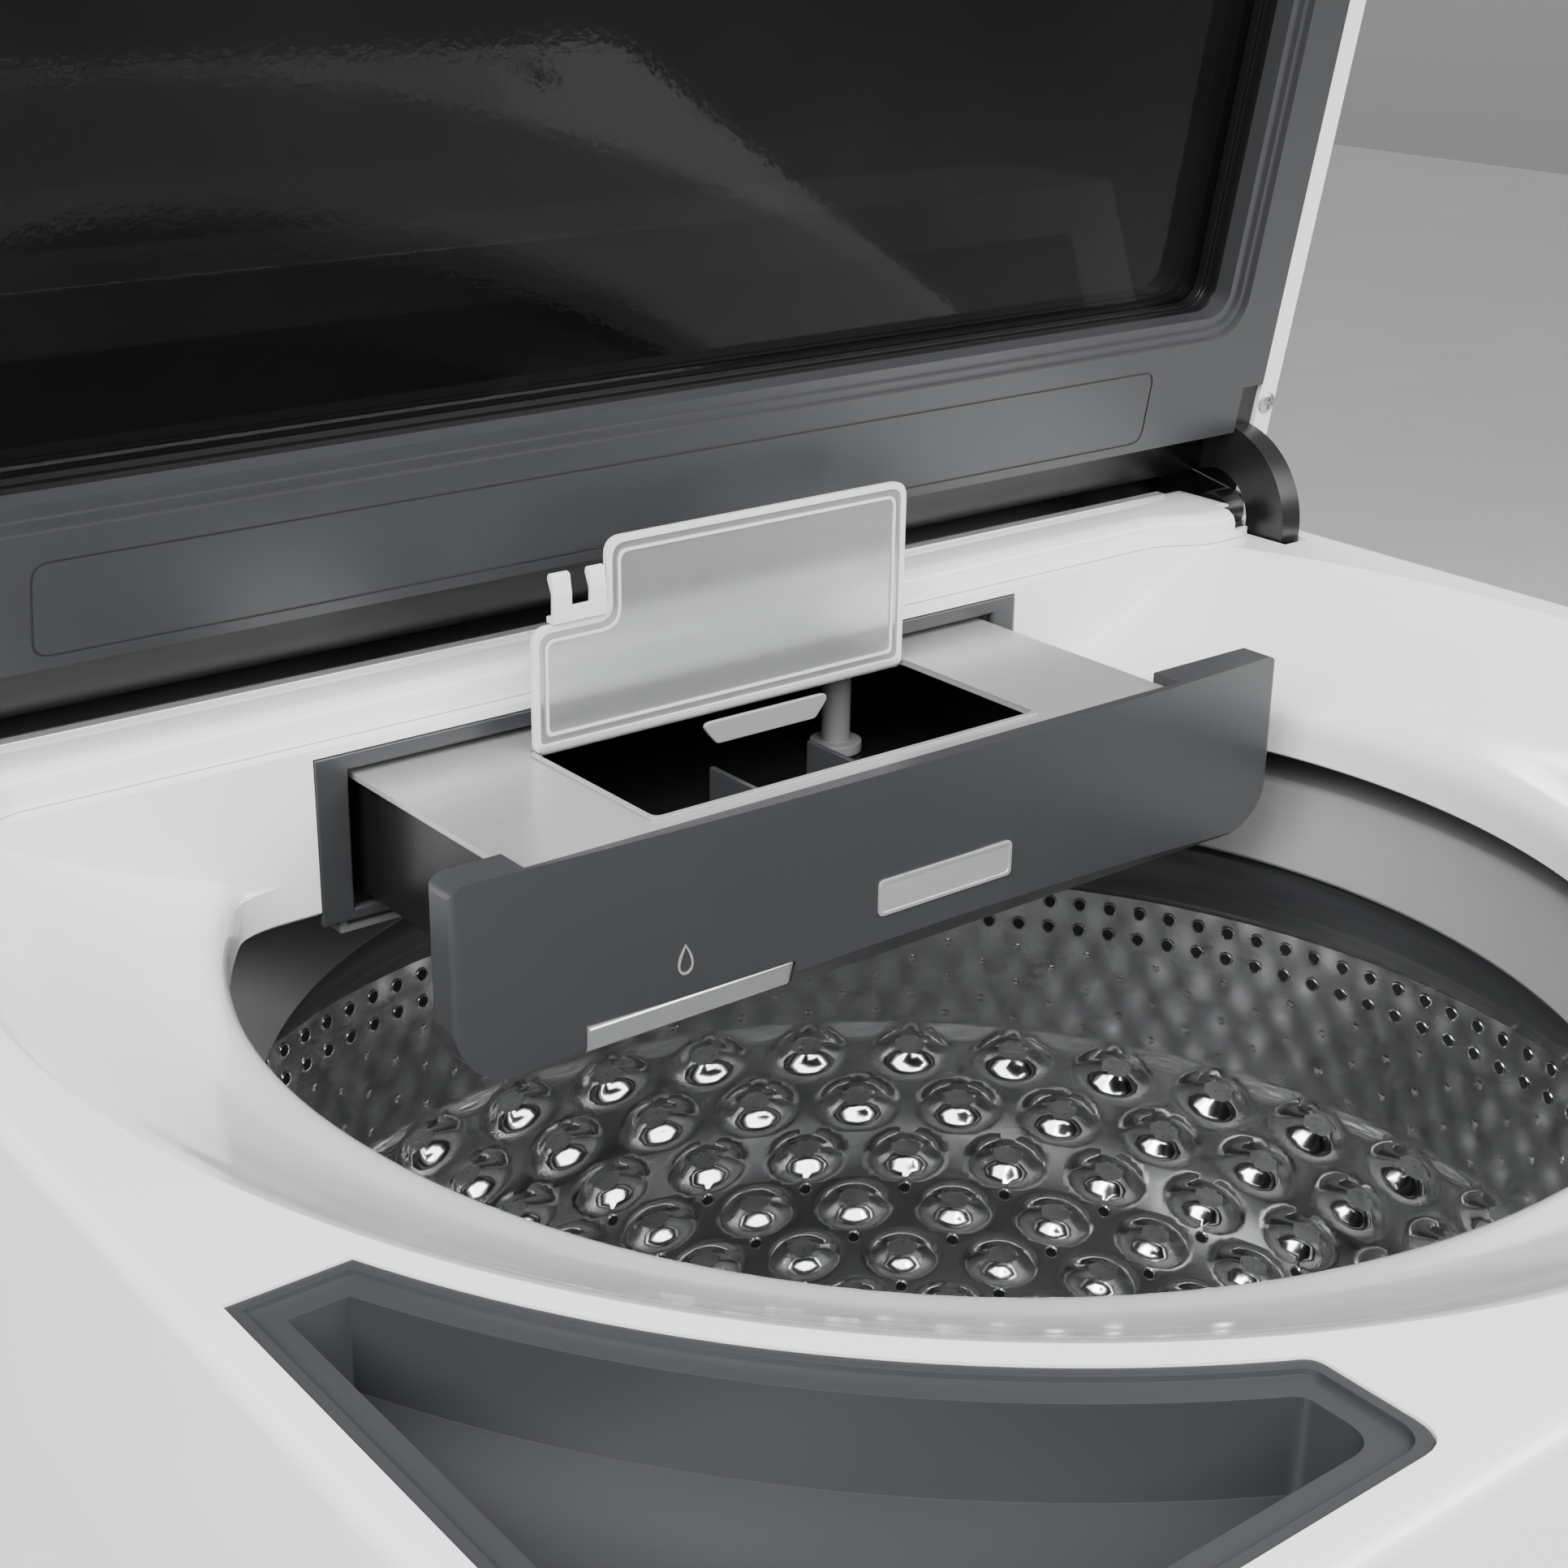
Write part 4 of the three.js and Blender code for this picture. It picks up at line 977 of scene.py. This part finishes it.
def lid_pieces():
    under = block("lid_inner_frame_fine", -331.7, 331.7, -330.7, 118, TOP + 1.5, TOP + 14)
    tools = [prism("t", window_rect(0), TOP - 5, TOP + 20)]
    tools.append(prism("t", window_rect(9, 9), TOP - 5, TOP + 3.6))
    tools.append(prism("t", window_rect(5.2, 10), TOP - 5, TOP + 5.4))
    for side in (-1, 1):
        xs = sorted((side * 318.5, side * 340))
        tools.append(block("t", *xs, 64, 96, TOP + 3.8, TOP + 20))
        tools.append(block("t", *xs, 96, 130, TOP - 5, TOP + 20))
    combine(under, tools)
    groove = prism("t", rect(-253, 256, 80, 114, 6), TOP, TOP + 2.2)
    combine(groove, [prism("t", rect(-252.1, 255.1, 80.9, 113.1, 5.2), TOP - 1, TOP + 4)])
    combine(under, [groove])
    dress(open_lid(cleaned(under, 0.45)), "charcoal_plastic", "lid", "lid_inner_frame")
    shell = prism("lid_shell_fine", rect(-343, 343, -342, 150, 16, 8), TOP + 2, TOP + 36)
    combine(shell, [
        block("t", -332, 332, -331, 165, TOP - 2, TOP + 33),
        prism("t", window_rect(0), TOP - 3, TOP + 45),
    ])
    dress(open_lid(cleaned(shell, 2.2, 3, 40)), "white_plastic", "lid", "lid_shell")
    ring = prism("lid_gasket_fine", window_rect(10), TOP + 14.3, TOP + 26.7)
    combine(ring, [prism("t", window_rect(0), TOP, TOP + 40)])
    groove = prism("t", window_rect(2), TOP + 18, TOP + 22)
    combine(groove, [prism("t", window_rect(-3), TOP, TOP + 40)])
    combine(ring, [groove])
    dress(open_lid(cleaned(ring, 0.5)), "black_plastic", "lid", "lid_gasket")
    liner = prism(
        "lid_rear_liner",
        [
            (118.3, TOP + 14), (118.3, TOP + 32.8), (149.8, TOP + 32.8), (149.8, TOP + 30.6),
            (121, TOP + 30.6), (121, TOP + 14)
        ],
        -331.6, 331.6, "x",
    )
    cheeks = [block("t", x - 0.15, x + 0.15, 118.4, 149.7, TOP + 3.5, TOP + 32.8) for x in (-331.8, 331.8)]
    liner = joined("lid_rear_liner", [liner] + cheeks)
    dress(open_lid(cleaned(liner, 0.1, 1)), "black_plastic", "lid")
    pane = prism("lid_glass_fine", window_rect(10), TOP + 27, TOP + 32.7)
    dress(open_lid(cleaned(pane, 0.5)), "tinted_glass", "lid", "lid_glass")
    bumpers = []
    for x in (-280, 280):
        bumpers.append(
            lathe(
                "t", [(0, TOP + 0.2), (5, TOP + 0.2), (6.2, TOP + 1.0), (6.8, TOP + 1.9), (0, TOP + 1.9)],
                24, x, -312
            )
        )
    pads = joined("lid_bumpers", bumpers)
    dress(open_lid(cleaned(pads)), "foot_rubber", "lid")
    for side, name in ((-1, "left"), (1, "right")):
        refined(f"hinge_arm_{name}", "black_plastic", "lid", 0.9, 2, 40)
        head = cleaned(screw_head("t", 5.0, 1.7))
        moved(head, side * 337.4, 106, TOP + 2, math.pi, "X")
        head.name = f"hinge_screw_{name}"
        dress(open_lid(head), "zinc_steel", "lid")
    refined("lid_strike", "zinc_steel", "lid", 0.5)


def screw_head(name, radius, height):
    """A pan head with a cross recess, its underside at the origin, pointing up."""
    profile = [
        (0, 0), (radius, 0), (radius, height * 0.35), (radius * 0.86, height * 0.75),
        (radius * 0.5, height), (0, height)
    ]
    head = lathe(name, profile, 24, 0, 0)
    cleaned(head)
    arm, wide = radius * 0.55, radius * 0.11
    combine(head, [
        block("t", -arm, arm, -wide, wide, height * 0.45, height * 2),
        block("t", -wide, wide, -arm, arm, height * 0.45, height * 2),
    ])
    return head


lid_pieces()

for side in ("left", "right"):
    refined(f"hinge_bracket_{side}", "zinc_steel", "machine", 0.6)
    refined(f"hinge_pin_{side}", "stainless_steel", "machine", 0.5)
refined("lid_lock", "black_plastic", "machine", 0.6)
refined("lid_lock_bolt", "zinc_steel", "lock_bolt", 0.5)


# ---- console ----
KNOB_UP = 62  # up the console's face
LAMP_UP = 76


def on_face(obj):
    """From upright at the origin to the console's tilted face."""
    return moved(obj, 0, FACE_Y, FACE_Z, math.radians(-FACE_TILT), "X")


def console():
    refined("console_housing", "white_plastic", "machine", 2.4, 3, 18)
    refined("console_panel", "charcoal_plastic", "machine", 0.5)
    refined("console_display", "tinted_glass", "machine", 0.4)
    refined("control_board", "circuit_board", "machine", 0.3)
    refined("power_button", "satin_plastic", "power_key", 0.9, 3)
    refined("start_button", "satin_plastic", "start_key", 0.9, 3)
    for k in (1, 2, 3):
        refined(f"option_button_{k}", "satin_plastic", f"option_key_{k}", 0.9, 3)
    profile = [
        (0, 0.8), (27, 0.8), (27, 5), (26.2, 6.6), (24.4, 7), (23.6, 8.4), (23, 10), (22.7, 18), (22, 19.6),
        (20.4, 20), (14, 19.4), (0, 19.4)
    ]

    def knurl(r, z, a):
        return 0.45 * math.cos(48 * a) if 22 < r < 23.8 and 8 < z < 19 else 0

    dial = lathe("cycle_knob_fine", profile, 384, 0, 0, knurl)
    cleaned(dial)
    moved(dial, 0, 0, KNOB_UP, math.pi / 2, "X")
    dress(on_face(dial), "bright_trim", "knob", "cycle_knob")
    mark = block("cycle_knob_mark", -0.8, 0.8, -20.5, -19.7, 69, 80)
    dress(on_face(cleaned(mark, 0.25)), "black_plastic", "knob")
    ticks = []
    for k in range(16):
        a = 2 * math.pi * k / 16
        length = 5 if k % 4 == 0 else 3
        tick = block("t", -0.5, 0.5, -0.25, 0.1, 31, 31 + length)
        ticks.append(moved(tick, 0, 0, KNOB_UP, a, "Y"))
    scale = joined("dial_ticks", ticks)
    dress(on_face(cleaned(scale, 0.08)), "satin_plastic", "machine")
    lamps = []
    for x in (-250, -190, -140, -90, 250):
        lamp = lathe("t", [(0, -0.3), (1.6, -0.3), (1.6, 0.1), (1.0, 0.5), (0, 0.6)], 16, 0, 0)
        lamps.append(moved(lamp, x, 0, LAMP_UP, math.pi / 2, "X"))
    lights = joined("indicator_lamps", lamps)
    dress(on_face(cleaned(lights)), "bright_trim", "machine").data.materials[0] = LAMP


console()


# ---- cabinet, back, base and feet ----
SIDE_FIELD = 2.4  # depth of the pressed field in each side
SHEET = 2.5
ROD = 278  # the suspension rods stand this far from the wash unit's axis, across and along
BACK_SHEET = 2.2


def cabinet():
    """The wrapped sheet, with a shallow pressed field in each side."""
    r = 18
    path = [
        (-HALF_W, y)
        for y in (
            350.2, 344, 336, 324, 312, 300, 240, 180, 120, 60, 0, -60, -120, -180, -240, -282, -292, -304,
            -316, -324, -330
        )
    ]
    for k in range(9):
        a = math.pi + math.pi / 2 * k / 8
        path.append((-HALF_W + r + r * math.cos(a), -HALF_D + r + r * math.sin(a)))
    path += [(-HALF_W + r + (2 * HALF_W - 2 * r) * k / 14, -HALF_D) for k in range(1, 14)]
    path += [(-x, y) for x, y in reversed(path[:30])]
    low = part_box("cabinet_shell")[0].z / MM
    rows = {low + h for h in (0, 1, 30, 42, 54, 66, 78)} | {low + 120 + 60 * k for k in range(11)}
    rows = sorted(rows | {CABINET_TOP - h for h in (0, 1, 40, 52, 64, 76, 88)})

    def pressed(x, y, z):
        if abs(x) < HALF_W - 0.5:
            return 0
        along = smoothstep(330, 300, y) * smoothstep(-318, -290, y)
        upright = smoothstep(low + 32, low + 66, z) * smoothstep(CABINET_TOP - 42, CABINET_TOP - 76, z)
        return SIDE_FIELD * along * upright

    def layer(depth):
        out = []
        for x, y in path:
            nx = max(-1, min(1, (abs(x) - HALF_W + r) / r)) if y < -HALF_D + r else 1
            ny = max(0, (-HALF_D + r - y) / r) if abs(x) > HALF_W - r else 1
            nx = 0 if abs(x) <= HALF_W - r else nx
            for z in rows:
                d = depth + pressed(x, y, z)
                out.append((x - math.copysign(nx * d, x), y + (ny * d if y < -HALF_D + r else 0), z))
        return out

    verts = layer(0) + layer(SHEET)
    obj = cleaned(raw("cabinet_wrap", verts, sheet_faces(len(path), len(rows))))
    dress(obj, "white_enamel", "machine", "cabinet_shell")
    braces = []
    for side in (-1, 1):
        for y in (DRUM_Y - ROD, DRUM_Y + ROD):
            xs = sorted((side * 258, side * (HALF_W - 3)))
            shelf = block("t", *xs, y - 32, y + 32, 794, 800)
            combine(shelf, [lathe("t", [(0, 780), (6, 780), (6, 810), (0, 810)], 24, side * ROD, y)])
            braces.append(shelf)
    shelves = joined("suspension_shelves", braces)
    dress(cleaned(shelves, 0.8), "zinc_steel", "machine")


def back_panel():
    """The rear sheet, with three pressed fields, a row of louvres, port holes and its screws."""
    y = HALF_D
    lo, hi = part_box("rear_panel")
    low, high = lo.z / MM, hi.z / MM
    xs = [-HALF_W + 2 * HALF_W * k / 96 for k in range(97)]
    zs = [low + (high - low) * k / 120 for k in range(121)]

    def pressed(x, z):
        field = 0
        for x0, x1 in ((-302, -112), (-92, 92), (112, 302)):
            across = smoothstep(x0, x0 + 13, x) * smoothstep(x1, x1 - 13, x)
            field = max(field, across * smoothstep(80, 93, z) * smoothstep(712, 699, z))
        return 6 * field

    def sheet(depth):
        return [(x, y - depth - pressed(x, z), z) for x in xs for z in zs]

    body = cleaned(raw("rear_panel_fine", sheet(0) + sheet(BACK_SHEET), sheet_faces(len(xs), len(zs))))

    def disc(x, z, r, y0, y1):
        ring = [(x + r * math.cos(math.pi * k / 16), z + r * math.sin(math.pi * k / 16)) for k in range(32)]
        return prism("t", ring, y0, y1, "y")

    cutters = []
    for node, grow in (("drain_port", -5), ("cord_gland", -4.7)):
        a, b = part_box(node)
        cutters.append(
            disc((a.x + b.x) / 2 / MM, (a.z + b.z) / 2 / MM, (b.x - a.x) / 2 / MM + grow, y - 5, y + 4)
        )
    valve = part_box("inlet_valve")
    for x in (valve[0].x / MM + 20, valve[1].x / MM - 20):
        cutters.append(disc(x, (valve[0].z + valve[1].z) / 2 / MM, 15, y - 5, y + 4))
    cutters += [
        prism("t", rect(-70, 70, 742 + 9 * k, 745.6 + 9 * k, 1.7, 4), y - 4, y + 4, "y")
        for k in range(7)
    ]
    places = [(x, z) for x in (-334, 334) for z in (60, 260, 460, 660, 860)]
    cutters += [disc(x, z, 6.4, y - 1.6, y + 4) for x, z in places]
    combine(body, cutters)
    dress(cleaned(body), "zinc_steel", "machine", "rear_panel")
    screws = []
    for x, z in places:
        screw = screw_head("t", 4.6, 1.4)
        screws.append(moved(screw, x, y - 1.6, z, -math.pi / 2, "X"))
    heads = joined("back_screws", screws)
    dress(cleaned(heads), "bright_trim", "machine")


cabinet()
back_panel()
refined("base_frame", "zinc_steel", "machine", 0.8)
for end in ("front", "rear"):
    for side in ("left", "right"):
        refined(f"foot_{end}_{side}", "foot_rubber", "machine", 0.8)
        refined(f"suspension_rod_{end}_{side}", "zinc_steel", "machine", 0.5)

# ---- pieces inside and at the back that keep the CAD shape, with rounded edges ----
refined("outer_tub", "grey_plastic", "machine", 1.0)
refined("bearing_housing", "zinc_steel", "machine", 0.8)
refined("motor_stator", "motor_copper", "machine", 1.0)
refined("motor_rotor", "zinc_steel", "agitator", 0.8)
refined("drive_shaft", "stainless_steel", "agitator", 0.8)
refined("spin_tube", "stainless_steel", "basket", 0.6)
refined("drain_pump", "grey_plastic", "machine", 1.2)
refined("inlet_valve", "grey_plastic", "machine", 0.8)
refined("drain_port", "black_plastic", "machine", 0.7)
refined("cord_gland", "black_plastic", "machine", 0.6)


# ---- floor and light ----
def stage():
    floor = raw("floor", [(-8, -8, 0), (8, -8, 0), (8, 8, 0), (-8, 8, 0)], [(0, 1, 2, 3)], 1)
    floor.data.materials.append(
        surface("floor_pale", (0.70, 0.70, 0.70), (0.74, 0.74, 0.74), (0.6, 0.75), 0, (60, 0.02), 3)
    )
    world = bpy.data.worlds.new("world")
    world.use_nodes = True
    tree = world.node_tree
    coords = shader(tree, "TexCoord")
    split = shader(tree, "SeparateXYZ")
    ramp = shader(tree, "ValToRGB")
    ramp.color_ramp.elements[0].position = 0.30
    ramp.color_ramp.elements[0].color = (0.25, 0.25, 0.25, 1)
    ramp.color_ramp.elements[1].position = 0.66
    ramp.color_ramp.elements[1].color = (0.95, 0.95, 0.95, 1)
    remap = shader(tree, "MapRange", From_Min=-1)
    tree.links.new(coords.outputs["Generated"], split.inputs["Vector"])
    tree.links.new(split.outputs["Z"], remap.inputs["Value"])
    tree.links.new(remap.outputs["Result"], ramp.inputs["Fac"])
    tree.links.new(ramp.outputs["Color"], tree.nodes["Background"].inputs["Color"])
    set_inputs(tree.nodes["Background"], Strength=0.5)
    bpy.context.scene.world = world
    for name, place, aim, wide, tall, power in (
        ("key", (-1.9, -0.6, 2.5), (0, 0, 0.9), 1.5, 1.5, 95),
        ("fill", (1.9, -1.7, 2.0), (0, 0, 0.9), 1.2, 1.2, 24),
        ("rim", (0.9, 1.8, 2.3), (0, 0, 1.0), 0.9, 0.9, 50),
        ("over", (-0.1, -1.30, 2.15), (0, 0.1, 0.7), 3.8, 1.5, 104),
    ):
        data = bpy.data.lights.new(name, "AREA")
        data.shape = "RECTANGLE"
        data.size = wide
        data.size_y = tall
        data.energy = power
        lamp = bpy.data.objects.new(name, data)
        lamp.location = place
        lamp.rotation_euler = (Vector(aim) - Vector(place)).to_track_quat("-Z", "Y").to_euler()
        bpy.context.scene.collection.objects.link(lamp)


stage()
